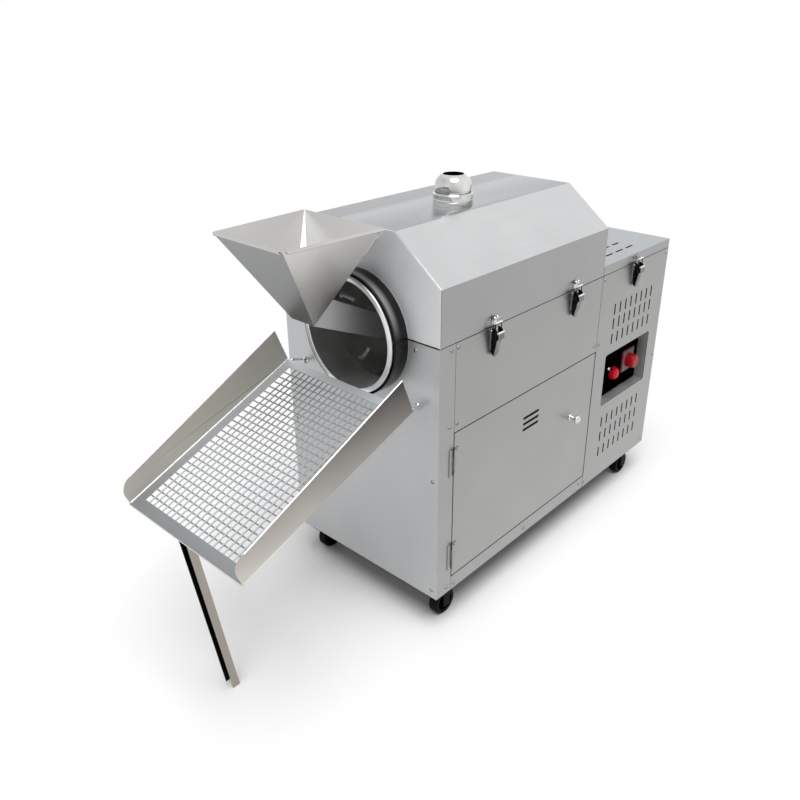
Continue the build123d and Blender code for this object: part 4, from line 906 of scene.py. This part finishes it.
# Floor faces get the floor copy, faces that look in towards the middle the inner copy, the rest the outer
# copy, each with its painted light or shade.
def trayFace(centre, normal):
    return 2 if abs(normal.dot(trayUp)) > 0.8 else normal.y * centre.y < 0


# The floor's lower edge, bent down over the leg.
def trayLip():
    size = traySizes
    end, bend, drop, sheet = size["lipLength"], size["lipRadius"], size["lipDrop"], size["sheet"]
    top, under = size["lipStand"], -size["lipUnder"]
    lip = [(0, top, 0), (end, top, bend), (end, -drop, 0), (end - sheet, -drop, 0)]
    lip += [(end - sheet, under, bend - sheet), (0, under, 0)]
    edge, half = size["length"] + size["lipOut"] - end, size["lowerHalf"] - size["lipInset"]
    start, finish = trayPoint(edge, -half, 0), trayPoint(edge, half, 0)
    return barMesh("trayLip", roundedOutline(lip, 0), start, finish, trayUp)


def buildTray():
    size = traySizes
    pan = paintFaces(easedMesh("trayPan", "tray_pan", 0.5), trayFace)
    finishPiece("trayPan", "tray", pan, [trayOutSteel, trayInSteel, trayFloorSteel], ["tray_pan"], 5)
    parts = [(trayLip(), 0)]
    length, fold, stand = size["length"], size["foldRadius"], size["foldStand"]
    hemShare = (length - size["wallCorner"]) / length
    # Wires along the folds and wall hems carry painted highlights.
    for side in (-1, 1):
        upperSide, lowerSide = side * (size["upperHalf"] - fold), side * (size["lowerHalf"] - fold)
        run = [trayPoint(0.5, upperSide, stand), trayPoint(length - 1, lowerSide, stand)]
        parts.append((wireMesh("trayFold", run, fold, sides=2), 1))
        out = size["sheet"] / 2
        upper = trayPoint(1.0, side * (size["upperHalf"] + out), size["wallUpper"])
        lower = trayPoint(length, side * (size["lowerHalf"] + out), size["wallLower"])
        run = [upper, upper.lerp(lower, hemShare)]
        parts.append((wireMesh("trayHem", run, size["hemRadius"], sides=2), 1))
    finishPiece("trayFolds", "tray", joinedMesh("trayFolds", parts), [trayFloorSteel, highlightWireSteel])
    finishPiece("trayNet", "tray", trayNet(), [wireSteel], ["tray_mesh"], sharp=60)


buildTray()
print("tray done")


# Drum: bright turned ring on the neck of a shell that is heat-dulled outside and polished inside.
drumSizes = {
    "mouthRadius": 115.05,
    "ringRadius": 126.0,
    "ringStand": 2.0,
    "ringDepth": 8.0,
    "ringEdge": 3.0,
    "ringGap": 0.2,
    "ringSeat": 1.0,
    "neckBack": 0.6,
    "shellRadius": 155.0,
    "frontWall": 75.0,
    "sheet": 1.5,
    "bend": 3.0,
}


def buildDrum():
    size = drumSizes
    low, high = boxMm("drum_shell")
    origin = Vector((low.x, 0, mouthAxisZ))
    length, sheet, inner = high.x - low.x, size["sheet"], size["mouthRadius"]
    neck, front = inner + sheet, -size["ringStand"]
    back, seat = front + size["ringDepth"], size["ringSeat"]
    wide, bore = size["ringRadius"], neck + size["ringGap"]
    ring = [(front, inner), (front, wide), (back, wide), (back, bore, 0), (seat, bore, 0), (seat, inner, 0)]
    mesh = turnedMesh("mouthRing", origin, (1, 0, 0), roundedOutline(ring, size["ringEdge"]), 128)
    finishPiece("mouthRing", "drum", mesh, [ringSteel], ["mouth_ring"])
    outer, wall, start = size["shellRadius"], size["frontWall"], size["neckBack"]
    drum = [(start, inner, 0), (start, neck, 0), (wall, neck), (wall, outer), (length, outer), (length, 0, 0)]
    drum += [(length - sheet, 0, 0), (length - sheet, outer - sheet), (wall + sheet, outer - sheet)]
    drum += [(wall + sheet, inner)]
    mesh = turnedMesh("drumShell", origin, (1, 0, 0), roundedOutline(drum, size["bend"]), 96)
    middle = Vector(((low.x + high.x) / 2, 0, mouthAxisZ))
    paintFaces(mesh, lambda centre, normal: normal.dot(middle - centre) > 0)
    finishPiece("drumShell", "drum", mesh, [heatedSteel, grainPolishedSteel], ["drum_shell"])


buildDrum()
print("drum done")

# Flue: spun collar with a rolled rim and bead, and a domed cap with an open top.
flueSizes = {
    "collarHeight": 26.7,
    "collarRadius": 43.0,
    "rim": 3.2,
    "rimHeight": 4.0,
    "beadHeight": 11.0,
    "beadHalf": 2.4,
    "beadCrown": 1.0,
    "bead": 0.6,
    "sheet": 1.4,
    "capFoot": (35.0, 6.0),
    "capBase": 30.5,
    "capStraight": 10.0,
    "capRadius": 39.0,
    "capTop": 63.0,
    "capHole": 22.6,
    "domeSteps": 10,
}


def buildFlue():
    size = flueSizes
    low, high = boxMm("chimney_collar")
    origin = Vector((0.5 * (low.x + high.x), 0.5 * (low.y + high.y), low.z))
    radius, sheet = size["collarRadius"], size["sheet"]
    height, lip = size["collarHeight"], radius - size["rim"]
    bead, half, crown = size["beadHeight"], size["beadHalf"], size["beadCrown"]
    beadOut, neck = radius + size["bead"], height - size["rimHeight"]
    collar = [(0, radius - sheet), (0, radius), (bead - half, radius, 1), (bead - crown, beadOut)]
    collar += [(bead + crown, beadOut), (bead + half, radius, 1), (neck, radius, 2), (height, lip, 3)]
    collar += [(height - 1, lip - sheet), (neck - 1, radius - sheet, 2)]
    mesh = turnedMesh("flueCollar", origin, (0, 0, 1), roundedOutline(collar, 0.5), 96)
    finishPiece("flueCollar", "lid", mesh, [flueSteel], ["chimney_collar"], sharp=50)
    footRadius, footZ = size["capFoot"]
    base, wide, hole = size["capBase"], size["capRadius"], size["capHole"]
    shoulder = base + size["capStraight"]
    reach = math.acos(hole / wide)
    stretch = (size["capTop"] - shoulder) / math.sin(reach)
    angles = [reach * i / size["domeSteps"] for i in range(size["domeSteps"] + 1)]
    dome = [(shoulder + stretch * math.sin(a), wide * math.cos(a)) for a in angles]
    lining = [(z - sheet * math.sin(a) - 0.1, r - sheet * math.cos(a)) for (z, r), a in zip(dome, angles)]
    cap = [(footZ, footRadius), (footZ, footRadius + sheet), (base, footRadius + sheet), (base, wide - 1)]
    cap += [(base + 1, wide)] + dome + lining[::-1]
    cap += [(base + sheet, wide - sheet), (base + sheet, footRadius)]
    mesh = turnedMesh("flueCap", origin, (0, 0, 1), cap, 96)
    # Faces of the cap that look in towards its axis, its lining, get painted shade.
    paintFaces(mesh, lambda centre, normal: normal.xy.dot((origin - centre).xy) > 5)
    finishPiece("flueCap", "vent_cap", mesh, [flueSteel, shadeSteel], ["vent_cap"], sharp=50)


buildFlue()
print("flue done")


# Toggle latches: pressed channel lever, wire bail with a yoke, and a keeper with two knuckles.
# The shift moves both lid latches along the near panel; the cabinet's latch stays on its keeper.
latchSizes = {
    "shift": -3.0,
    "pivotY": -220.0,
    "pivotZ": 663.0,
    "leverTop": 666.0,
    "leverEnd": 627.0,
    "topHalf": 8.6,
    "endHalf": 8.2,
    "topFront": -230.0,
    "endFront": -221.8,
    "back": -214.6,
    "sheet": 1.2,
    "bailHalf": 10.2,
    "bailY": -224.5,
    "bailLow": 657.0,
    "bailHigh": 702.0,
    "bailWire": 1.1,
    "tie": 2.1,
    "tieOut": 1.0,
    "keeperHalf": 8.0,
    "keeperLow": 694.0,
    "keeperHigh": 711.5,
    "keeperOut": -219.8,
    "keeperFoot": -212.2,
    "knuckle": 3.2,
    "yokeLow": 667.0,
    "yokeHigh": 681.0,
    "yokeFront": -233.0,
    "yokeBack": -216.8,
    "yokeLean": 1.2,
    "yokeRoll": 2.0,
    "yokeShoulder": 7.0,
    "yokePeak": 9.5,
    "yokeLap": 0.4,
    "leverSteps": 14,
    "tipShare": 0.22,
    "tipNarrow": 0.8,
    "tipLift": 2.2,
    "leverBend": 2.8,
    "pin": 2.4,
    "pinOut": 0.5,
    "keeperSheet": 1.6,
    "keeperLip": 6.0,
    "knuckleOut": 4.6,
    "rivetOut": 8.5,
    "rivetY": -214.2,
    "rivetZ": 683.5,
    "rivetRadius": 2.2,
    "rivetHeight": 1.4,
}


def latchLever(x):
    size = latchSizes
    rows = []
    for step in range(size["leverSteps"] + 1):
        share = step / size["leverSteps"]
        rounding = max(share - (1 - size["tipShare"]), 0) / size["tipShare"]
        half = size["topHalf"] + (size["endHalf"] - size["topHalf"]) * share
        half *= math.sqrt(1 - size["tipNarrow"] * rounding ** 2)
        front = size["topFront"] + (size["endFront"] - size["topFront"]) * share
        back = size["back"] - size["tipLift"] * rounding
        z = size["leverTop"] + (size["leverEnd"] - size["leverTop"]) * share
        sheet, bend = size["sheet"], size["leverBend"]
        outline = [(-half, back, 0), (-half, front, bend), (half, front, bend), (half, back, 0)]
        outline += [(half - sheet, back, 0), (half - sheet, front + sheet, 0.6)]
        outline += [(sheet - half, front + sheet, 0.6), (sheet - half, back, 0)]
        rows.append([(x + across, y, z) for across, y in roundedOutline(outline, 0, 3)])
    parts = [(loftMesh("latchChannel", rows), 0)]
    reach = size["topHalf"] + size["pinOut"]
    pin = [(x + side * reach, size["pivotY"], size["pivotZ"]) for side in (-1, 1)]
    parts.append((wireMesh("latchPin", pin, size["pin"], sides=4), 1))
    mesh = joinedMesh("latchLever", parts)
    # Faces that look sideways along the panel, the channel's flanks and edges, get painted shade.
    for polygon in mesh.polygons:
        if polygon.material_index == 0 and not -0.75 < polygon.normal.x < 0.4:
            polygon.material_index = 1
    return mesh


# Wire loop in painted shade with a top bar in painted highlight, and a dark yoke, its flanks in painted shade
# and its roll a painted highlight, that carries on the lever's form above its pin.
def latchBail(x):
    size = latchSizes
    half, low, high = size["bailHalf"], size["bailLow"], size["bailHigh"]
    path = [(-half, low), (-half, high), (half, high), (half, low)]
    points = [(x + across, size["bailY"], z) for across, z in path]
    parts = [(wireMesh("bailLoop", points, size["bailWire"]), 0)]
    tie = [(x + side * (half + size["tieOut"]), size["bailY"], high) for side in (-1, 1)]
    parts.append((wireMesh("bailTie", tie, size["tie"], sides=4), 1))
    foot, top, back = size["yokeLow"], size["yokeHigh"], size["yokeBack"]
    front, lean, sheet = size["yokeFront"], size["yokeLean"], size["sheet"]
    shoulder, lap = size["yokeShoulder"], size["yokeLap"]
    flank = [(back, foot), (front, foot, 0.5), (front + lean, top, 1)]
    flank += [(front + shoulder, top + shoulder, 3), (back, top + size["yokePeak"])]
    outline = roundedOutline(flank, 0.3)
    for side in (-1, 1):
        rows = [[(x + side * end, y, z) for y, z in outline] for end in (half - sheet, half)]
        parts.append((loftMesh("yokeFlank", rows), 0))
    face = [(front, foot), (front + sheet, foot), (front + sheet + lean, top), (front + lean, top)]
    rows = [[(x + side * (half - lap), y, z) for y, z in face] for side in (-1, 1)]
    parts.append((loftMesh("yokeFace", rows), 2))
    roll = [(x + side * (half + lap), front + lean + sheet / 2, top + lap) for side in (-1, 1)]
    parts.append((wireMesh("yokeRoll", roll, size["yokeRoll"], sides=4), 1))
    return joinedMesh("latchBail", parts)


def latchKeeper(x):
    size = latchSizes
    half, foot, out = size["keeperHalf"], size["keeperFoot"], size["keeperOut"]
    low, high, sheet = size["keeperLow"], size["keeperHigh"], size["keeperSheet"]
    shelf = high - size["keeperLip"]
    section = [(foot, low), (foot - sheet, low), (foot - sheet, shelf, 2), (out, shelf, 3)]
    section += [(out, high, 2.5), (out + sheet, high, 1), (out + sheet, shelf + sheet, 1.5)]
    section += [(foot, shelf + sheet, 1)]
    outline = roundedOutline(section, 0.3)
    rows = [[(x + across, y, z) for y, z in outline] for across in (-half, half)]
    parts = [(loftMesh("keeperHook", rows), 0)]
    bulge = size["knuckle"]
    knuckle = [(-2.6, 0), (-2.6, 2.2), (-1.4, bulge), (1.4, bulge), (2.6, 2.2), (2.6, 0)]
    for side in (-1, 1):
        origin = (x + side * size["knuckleOut"], out + 2.4, high - 1.0)
        parts.append((turnedMesh("keeperKnuckle", origin, (1, 0, 0), knuckle, 20, False), 0))
    return parts


def buildLatches():
    size = latchSizes
    finish, bailFinish = [leverSteel, darkPressing], [darkPressing, highlightWireSteel, leverSteel]
    keepers = []
    rivets = []
    for label in ("front", "rear", "control"):
        lever, bail = "latch_lever_" + label, "latch_bail_" + label
        low, high = boxMm(lever)
        onLid = label != "control"
        x = (low.x + high.x) / 2 + (size["shift"] if onLid else 0)
        finishPiece("latchLever" + label.capitalize(), lever, latchLever(x), finish, [lever])
        finishPiece("latchBail" + label.capitalize(), bail, latchBail(x), bailFinish, [bail])
        keepers += latchKeeper(x) if onLid else []
        spots = [(x + side * size["rivetOut"], size["rivetY"], size["rivetZ"]) for side in (-1, 1)]
        rivets += [(spot, (0, -1, 0)) for spot in spots]
    hooks = joinedMesh("latchKeepers", keepers)
    finishPiece("latchKeepers", "lid", hooks, [chromedSteel], ["latch_keepers"])
    radius, height = size["rivetRadius"], size["rivetHeight"]
    heads = fastenerMesh("latchRivets", rivets, radius, height, polishedSteel)
    finishPiece("latchRivets", "casing", heads, [polishedSteel])


buildLatches()
print("latches done")


# Controls: framed switch plate, two red knobs, a toggle in a round nut, and the knob on the door.
controlSizes = {
    "plateHalf": 31.8,
    "plateRound": 3.0,
    "plateEdge": 0.6,
    "frameDepth": 3.6,
    "faceHalf": 28.6,
    "faceDepth": 1.4,
    "faceEdge": 0.3,
    "faceSink": 0.2,
    "switchRadius": 21.0,
    "switchNose": 18.6,
    "switchRound": 5.0,
    "switchRidges": 18,
    "switchRidgeDepth": 0.5,
    "selectorRadius": 17.8,
    "selectorNose": 16.3,
    "selectorStraight": 6.0,
    "selectorRidges": 12,
    "selectorRidgeDepth": 0.3,
    "toggleStick": 2.1,
    "toggleBall": 4.8,
    "doorKnobShare": 0.8,
    "doorKnobHead": 11.0,
    "doorKnobFoot": 9.5,
    "doorKnobNeck": 5.4,
}


# Where a part meets the panel that it stands on, and how far it stands out, in mm.
def panelSpot(node):
    low, high = boxMm(node)
    return Vector(((low.x + high.x) / 2, high.y, (low.z + high.z) / 2)), high.y - low.y


# A knob with finger ridges: rows of (distance out of the panel, radius, ridge depth).
def ridgedKnob(name, centre, rows, ridges, steps=108):
    loops = []
    for out, radius, depth in rows:
        loop = []
        for i in range(steps):
            turn = 2 * math.pi * i / steps
            reach = radius - depth * (0.5 - 0.5 * math.cos(ridges * turn)) ** 2
            loop.append(Vector(centre) + Vector((reach * math.cos(turn), -out, reach * math.sin(turn))))
        loops.append(loop)
    return loftMesh(name, loops)


def roundedRows(foot, nose, length, bend, depth, steps=6):
    rows = [(0, foot - 0.6, 0), (0.6, foot, depth)]
    rows += [(length * i / 4, foot + (nose - foot) * i / 4, depth) for i in range(1, 4)]
    for i in range(steps + 1):
        turn = math.pi / 2 * i / steps
        fade = depth * (1 - i / steps)
        rows.append((length - bend * (1 - math.sin(turn)), nose - bend * (1 - math.cos(turn)), fade))
    return rows


def switchPlate():
    size = controlSizes
    foot, _ = panelSpot("switch_plate")
    rim, face = size["frameDepth"], size["faceDepth"]
    layers = [(size["plateHalf"], rim, 0, size["plateEdge"])]
    layers.append((size["faceHalf"], face, rim - size["faceSink"], size["faceEdge"]))
    parts = []
    for index, (half, depth, stand, edge) in enumerate(layers):
        outline = roundedOutline(rectangle(-half, half, -half, half), size["plateRound"])
        place = placed(foot - Vector((0, stand + depth / 2, 0)), (1, 0, 0), (0, 0, 1))
        parts.append((plateMesh("switchLayer", outline, [], depth, place, edge, 2), index))
    return joinedMesh("switchPlate", parts)


def switchKnob():
    size = controlSizes
    foot, length = panelSpot("switch_knob")
    radius, nose, bend = size["switchRadius"], size["switchNose"], size["switchRound"]
    rows = roundedRows(radius, nose, length, bend, size["switchRidgeDepth"])
    return ridgedKnob("switchKnob", foot, rows, size["switchRidges"])


def selectorKnob():
    size = controlSizes
    foot, length = panelSpot("selector_knob")
    radius, nose, bend = size["selectorRadius"], size["selectorNose"], length - size["selectorStraight"]
    rows = roundedRows(radius, nose, length, bend, size["selectorRidgeDepth"], 10)
    return ridgedKnob("selectorKnob", foot, rows, size["selectorRidges"])


# A ball-shaped nut and the stick that stands out of it.
def toggleLever():
    foot, length = panelSpot("toggle_lever")
    ball, stick = controlSizes["toggleBall"], controlSizes["toggleStick"]
    turns = [math.pi * i / 12 for i in range(1, 11)]
    nut = [(ball - ball * math.cos(turn), ball * math.sin(turn)) for turn in turns]
    nut = [(0, 0)] + nut + [(2 * ball, 0)]
    tip = [(ball, 0), (ball, stick), (length - 3, stick + 0.6), (length - 0.8, stick + 0.2), (length, 0)]
    parts = [(turnedMesh("toggleNut", foot, (0, -1, 0), nut, 32, False), 0)]
    parts.append((turnedMesh("toggleStick", foot, (0, -1, 0), tip, 24, False), 1))
    return joinedMesh("toggleLever", parts)


def doorKnob():
    size = controlSizes
    spot, length = panelSpot("door_knob")
    length *= size["doorKnobShare"]
    head, foot, neck = size["doorKnobHead"], size["doorKnobFoot"], size["doorKnobNeck"]
    profile = [(0, 0, 0), (0, foot), (2, foot), (3, 7, 1.5), (length - 15, neck, 3)]
    profile += [(length - 10, head - 0.6, 2), (length - 6, head, 2), (length - 1.5, head - 4, 3)]
    profile += [(length, head - 8, 2), (length, 0, 0)]
    return turnedMesh("doorKnob", spot, (0, -1, 0), roundedOutline(profile, 0.8), 48, False)


def buildControls():
    plateFinish, toggleFinish = [dullRedPlastic, greyPlastic], [polishedSteel, darkPressing]
    finishPiece("switchPlate", "casing", switchPlate(), plateFinish, ["switch_plate"])
    finishPiece("switchKnob", "switch_knob", switchKnob(), [deepRedPlastic], ["switch_knob"])
    finishPiece("selectorKnob", "selector_knob", selectorKnob(), [redPlastic], ["selector_knob"])
    finishPiece("toggleLever", "toggle_lever", toggleLever(), toggleFinish, ["toggle_lever"])
    finishPiece("doorKnob", "door", doorKnob(), [polishedSteel], ["door_knob"])


buildControls()
print("controls done")

# Caster wheels: rubber tyre with a rounded tread over a moulded hub with a sunk face and a bolt.
wheelSizes = {
    "tread": 3.0,
    "treadBend": 4.0,
    "hubRadius": 22.0,
    "hubSink": 3.0,
    "bossRadius": 8.5,
    "boltRadius": 5.0,
}


def buildWheels():
    size = wheelSizes
    hub, sink, boss, bolt = size["hubRadius"], size["hubSink"], size["bossRadius"], size["boltRadius"]
    tread, bend = size["tread"], size["treadBend"]
    for label in ("front_near", "front_far", "rear_near", "rear_far"):
        node = "wheel_" + label
        low, high = boxMm(node)
        origin = Vector(((low.x + high.x) / 2, low.y, (low.z + high.z) / 2))
        radius, width = (high.z - low.z) / 2, high.y - low.y
        tyre = [(0, hub), (0, radius - tread), (tread, radius, bend), (width - tread, radius, bend)]
        tyre += [(width, radius - tread), (width, hub)]
        parts = [(turnedMesh("tyre", origin, (0, 1, 0), roundedOutline(tyre, 1.5), 56), 0)]
        face = [(sink, 0), (sink, bolt), (0.6, bolt + 0.6), (0.6, boss), (sink, boss + 1)]
        face += [(sink, hub - 2), (0.4, hub - 0.6), (0.4, hub + 0.4)]
        back = [(width - along, reach) for along, reach in reversed(face)]
        parts.append((turnedMesh("hub", origin, (0, 1, 0), face + back, 48, False), 1))
        mesh = joinedMesh(node, parts)
        name = "wheel" + "".join(word.capitalize() for word in label.split("_"))
        finishPiece(name, node, mesh, [tyreRubber, blackPlastic], [node])


buildWheels()
print("wheels done")

# Dome-headed screws on the skins, one where each CAD screw stands.
screwSizes = {"radius": 4.4, "height": 2.6}


def screwSpots(node):
    shell = bmesh.new()
    shell.from_mesh(nodes[node].data)
    bmesh.ops.remove_doubles(shell, verts=shell.verts, dist=0.01 * mm)
    waiting = set(shell.verts)
    spots = []
    for first in shell.verts:
        if first not in waiting:
            continue
        waiting.remove(first)
        island = [first]
        for vertex in island:
            for edge in vertex.link_edges:
                other = edge.other_vert(vertex)
                if other in waiting:
                    waiting.remove(other)
                    island.append(other)
        low = Vector([min(vertex.co[i] for vertex in island) for i in range(3)]) / mm
        high = Vector([max(vertex.co[i] for vertex in island) for i in range(3)]) / mm
        thin = min(range(3), key=lambda i: high[i] - low[i])
        outwards = Vector((0, 0, 0))
        outwards[thin] = 1 if (low + high)[thin] / 2 > casingMiddle[thin] else -1
        spot = (low + high) / 2
        spot[thin] = low[thin] if outwards[thin] > 0 else high[thin]
        spots.append((spot, outwards))
    shell.free()
    return spots


casingMiddle = sum(boxMm("base_frame"), Vector()) / 2
spots = screwSpots("panel_screws")
screws = fastenerMesh("panelScrews", spots, screwSizes["radius"], screwSizes["height"], screwSteel)
finishPiece("panelScrews", "casing", screws, [screwSteel], ["panel_screws"])
print("screws done")

# Roller chain: side plates and pins set along the loop round both sprockets.
chainSizes = {
    "pitch": 12.7,
    "radius": 25.2,
    "plateLong": 8.4,
    "plateTall": 3.6,
    "plateGap": 3.6,
    "plateSheet": 1.0,
    "pin": 1.9,
}


def chainTree():
    kinds = {"Plate length": "Float", "Plate height": "Float", "Plate gap": "Float", "Pin radius": "Float"}
    tree, given = newTree("chainLinks", {**kinds, "Material": "Material"})
    thin = chainSizes["plateSheet"] * mm
    disc = addNode(tree, "GeometryNodeMeshCylinder", inputs={"Vertices": 12, "Radius": 1.0, "Depth": 1.0})
    length, height = given["Plate length"], given["Plate height"]
    size = addNode(tree, "ShaderNodeCombineXYZ", inputs={0: length, 1: height, 2: thin})
    plate = addNode(tree, "GeometryNodeTransform", inputs={0: disc, "Scale": size})
    half = addNode(tree, "ShaderNodeMath", {"operation": "MULTIPLY"}, {0: given["Plate gap"], 1: 0.5})
    shift = addNode(tree, "ShaderNodeCombineXYZ", inputs={2: half})
    upper = addNode(tree, "GeometryNodeTransform", inputs={0: plate, "Translation": shift})
    back = addNode(tree, "ShaderNodeVectorMath", {"operation": "SCALE"}, {0: shift, "Scale": -1.0})
    lower = addNode(tree, "GeometryNodeTransform", inputs={0: plate, "Translation": back})
    radius = given["Pin radius"]
    pinSize = addNode(tree, "ShaderNodeCombineXYZ", inputs={0: radius, 1: radius, 2: given["Plate gap"]})
    pin = addNode(tree, "GeometryNodeTransform", inputs={0: disc, "Scale": pinSize})
    link = addNode(tree, "GeometryNodeJoinGeometry")
    for part in (upper, lower, pin):
        tree.links.new(part.outputs[0], link.inputs[0])
    vectors = {"data_type": "FLOAT_VECTOR"}
    facing = addNode(tree, "GeometryNodeInputNamedAttribute", vectors, {"Name": "facing"})
    axis = addNode(tree, "FunctionNodeAlignRotationToVector", {"axis": "Z"}, {"Vector": (1.0, 0.0, 0.0)})
    along = {"axis": "X", "pivot_axis": "Z"}
    aimed = {"Rotation": axis, "Vector": facing}
    turn = addNode(tree, "FunctionNodeAlignRotationToVector", along, aimed)
    return setOnPoints(tree, given, {"Points": given["Geometry"], "Instance": link, "Rotation": turn})


# The second half of the loop is the first half turned about the middle.
def buildChain():
    size = chainSizes
    low, high = boxMm("drive_chain")
    middle = (low + high) / 2
    radius = size["radius"]
    straight = high.z - low.z - (high.y - low.y)
    halfLoop = straight + math.pi * radius
    count = round(2 * halfLoop / size["pitch"])
    spots = []
    for i in range(count):
        run = 2 * halfLoop * i / count
        half = 1 if run < halfLoop else -1
        run %= halfLoop
        turn = max(run - straight, 0) / radius
        across, rise = math.cos(turn), math.sin(turn)
        climb = min(run, straight) - straight / 2
        spot = middle + half * Vector((0, radius * across, climb + radius * rise))
        spots.append((spot, half * Vector((0, -rise, across))))
    mesh = facingPoints("driveChain", spots)
    values = {
        "Plate length": size["plateLong"] * mm,
        "Plate height": size["plateTall"] * mm,
        "Plate gap": size["plateGap"] * mm,
        "Pin radius": size["pin"] * mm,
        "Material": chainSteel,
    }
    links = grownMesh("driveChain", mesh, chainTree(), values)
    finishPiece("driveChain", "casing", links, [chainSteel], ["drive_chain"], sharp=50)


buildChain()
print("chain done")


# Sheets of painted shade behind the slots, seal beads round the door and the dark joint under the upper front
# plate.
trimSizes = {
    "shieldDepth": 2.0,
    "shieldSheet": 0.8,
    "shieldRound": 2.0,
    "cabinetShields": ((436, 652, 484, 606), (431, 647, 152, 285)),
    "doorShield": (50, 128, 383, 435),
    "seal": 1.2,
    "sealOut": 0.4,
    "hem": 1.1,
    "hemReach": 131.5,
}


def shieldMesh(name, area):
    outline = roundedOutline(rectangle(*area), trimSizes["shieldRound"])
    depth = boxMm("control_shell")[0].y + trimSizes["shieldDepth"]
    place = placed((0, depth, 0), (1, 0, 0), (0, 0, 1))
    return plateMesh(name, outline, [], trimSizes["shieldSheet"], place)


def buildTrim():
    size = trimSizes
    sheets = [(shieldMesh("slotShield", area), 0) for area in size["cabinetShields"]]
    finishPiece("cabinetShields", "casing", joinedMesh("cabinetShields", sheets), [shadeSteel])
    finishPiece("doorShield", "door", shieldMesh("doorShield", size["doorShield"]), [shadeSteel])
    low, high = boxMm("door")
    out = size["sealOut"]
    y = boxMm("control_shell")[0].y + out
    edges = rectangle(low.x - out, high.x + out, low.z - out, high.z + out)
    corners = [(x, y, z) for x, z in edges]
    beads = zip(corners, corners[1:] + corners[:1])
    parts = [(wireMesh("doorSeal", list(ends), size["seal"], sides=3), 0) for ends in beads]
    finishPiece("doorSeals", "door", joinedMesh("doorSeals", parts), [tyreRubber])
    low, high = boxMm("front_upper_plate")
    reach = math.sqrt(size["hemReach"] ** 2 - (mouthAxisZ - low.z) ** 2)
    runs = [(low.y + 1, -reach), (reach, high.y - 1)]
    hems = [[(frontX - 0.2, end, low.z + 0.6) for end in run] for run in runs]
    parts = [(wireMesh("plateHem", run, size["hem"], sides=3), 0) for run in hems]
    finishPiece("upperPlateHem", "casing", joinedMesh("upperPlateHem", parts), [darkPressing])


buildTrim()
print("trim done")

# Stage: pale floor out to the horizon, even sky, one broad high lamp over the operator's corner.
stageSettings = {
    "floor": "#f6f6f6",
    "floorReach": 150.0,
    "sky": 0.38,
    "seenSky": 1.0,
    "sunStrength": 2.4,
    "sunSpread": 38.0,
    "sunFrom": (-0.22, -0.26, 1.0),
}


def buildStage():
    reach = stageSettings["floorReach"]
    corners = [(x, y, 0) for x, y in rectangle(-reach, reach, -reach, reach)]
    mesh = meshFrom("floor", corners, [(0, 1, 2, 3)])
    floor = placeInScene("floor", mesh)
    material, tree, shader, place = newMaterial("paperSweep")
    shader.inputs["Base Color"].default_value = hexToLinear(stageSettings["floor"])
    shader.inputs["Roughness"].default_value = 0.9
    shader.inputs["Specular IOR Level"].default_value = 0.0
    mesh.materials.append(material)
    world = bpy.data.worlds.new("studio")
    bpy.context.scene.world = world
    world.use_nodes = True
    tree = world.node_tree
    path = addNode(tree, "ShaderNodeLightPath").outputs
    straight = addNode(tree, "ShaderNodeMath", {}, {0: path["Is Camera Ray"], 1: path["Is Glossy Ray"]})
    through = path["Is Transmission Ray"]
    seen = addNode(tree, "ShaderNodeMath", {"use_clamp": True}, {0: straight.outputs[0], 1: through})
    low, high = stageSettings["sky"], stageSettings["seenSky"]
    glow = addNode(tree, "ShaderNodeMapRange", inputs={0: seen.outputs[0], 3: low, 4: high}).outputs[0]
    tree.links.new(glow, tree.nodes["Background"].inputs["Strength"])
    tree.nodes["Background"].inputs["Color"].default_value = (1, 1, 1, 1)
    light = bpy.data.lights.new("highLamp", "SUN")
    light.energy = stageSettings["sunStrength"]
    light.angle = math.radians(stageSettings["sunSpread"])
    lamp = placeInScene("highLamp", light)
    lamp.rotation_euler = (-Vector(stageSettings["sunFrom"])).to_track_quat("-Z", "Y").to_euler()


# Solved from the part's own edges; the focal length and the middle of the picture are in pixels.
cameraSettings = {
    "place": (-1.289, -1.088, 1.2726),
    "down": 25.111,
    "turn": -48.107,
    "picture": 800,
    "focal": 786.12,
    "middle": (415.39, 377.66),
    "sensor": 36.0,
    "farEnd": 500.0,
}


def buildCamera():
    size = cameraSettings
    lens = bpy.data.cameras.new("photoCamera")
    camera = placeInScene("photoCamera", lens)
    camera.location = size["place"]
    camera.rotation_euler = (math.radians(90 - size["down"]), 0, math.radians(size["turn"]))
    middleX, middleY = size["middle"]
    half = size["picture"] / 2
    lens.sensor_width = size["sensor"]
    lens.lens = size["sensor"] * size["focal"] / size["picture"]
    lens.shift_x = (half - middleX) / size["picture"]
    lens.shift_y = (middleY - half) / size["picture"]
    lens.clip_end = size["farEnd"]
    bpy.context.scene.camera = camera


buildStage()
buildCamera()
bpy.context.scene.view_settings.view_transform = "Standard"
print("stage done")
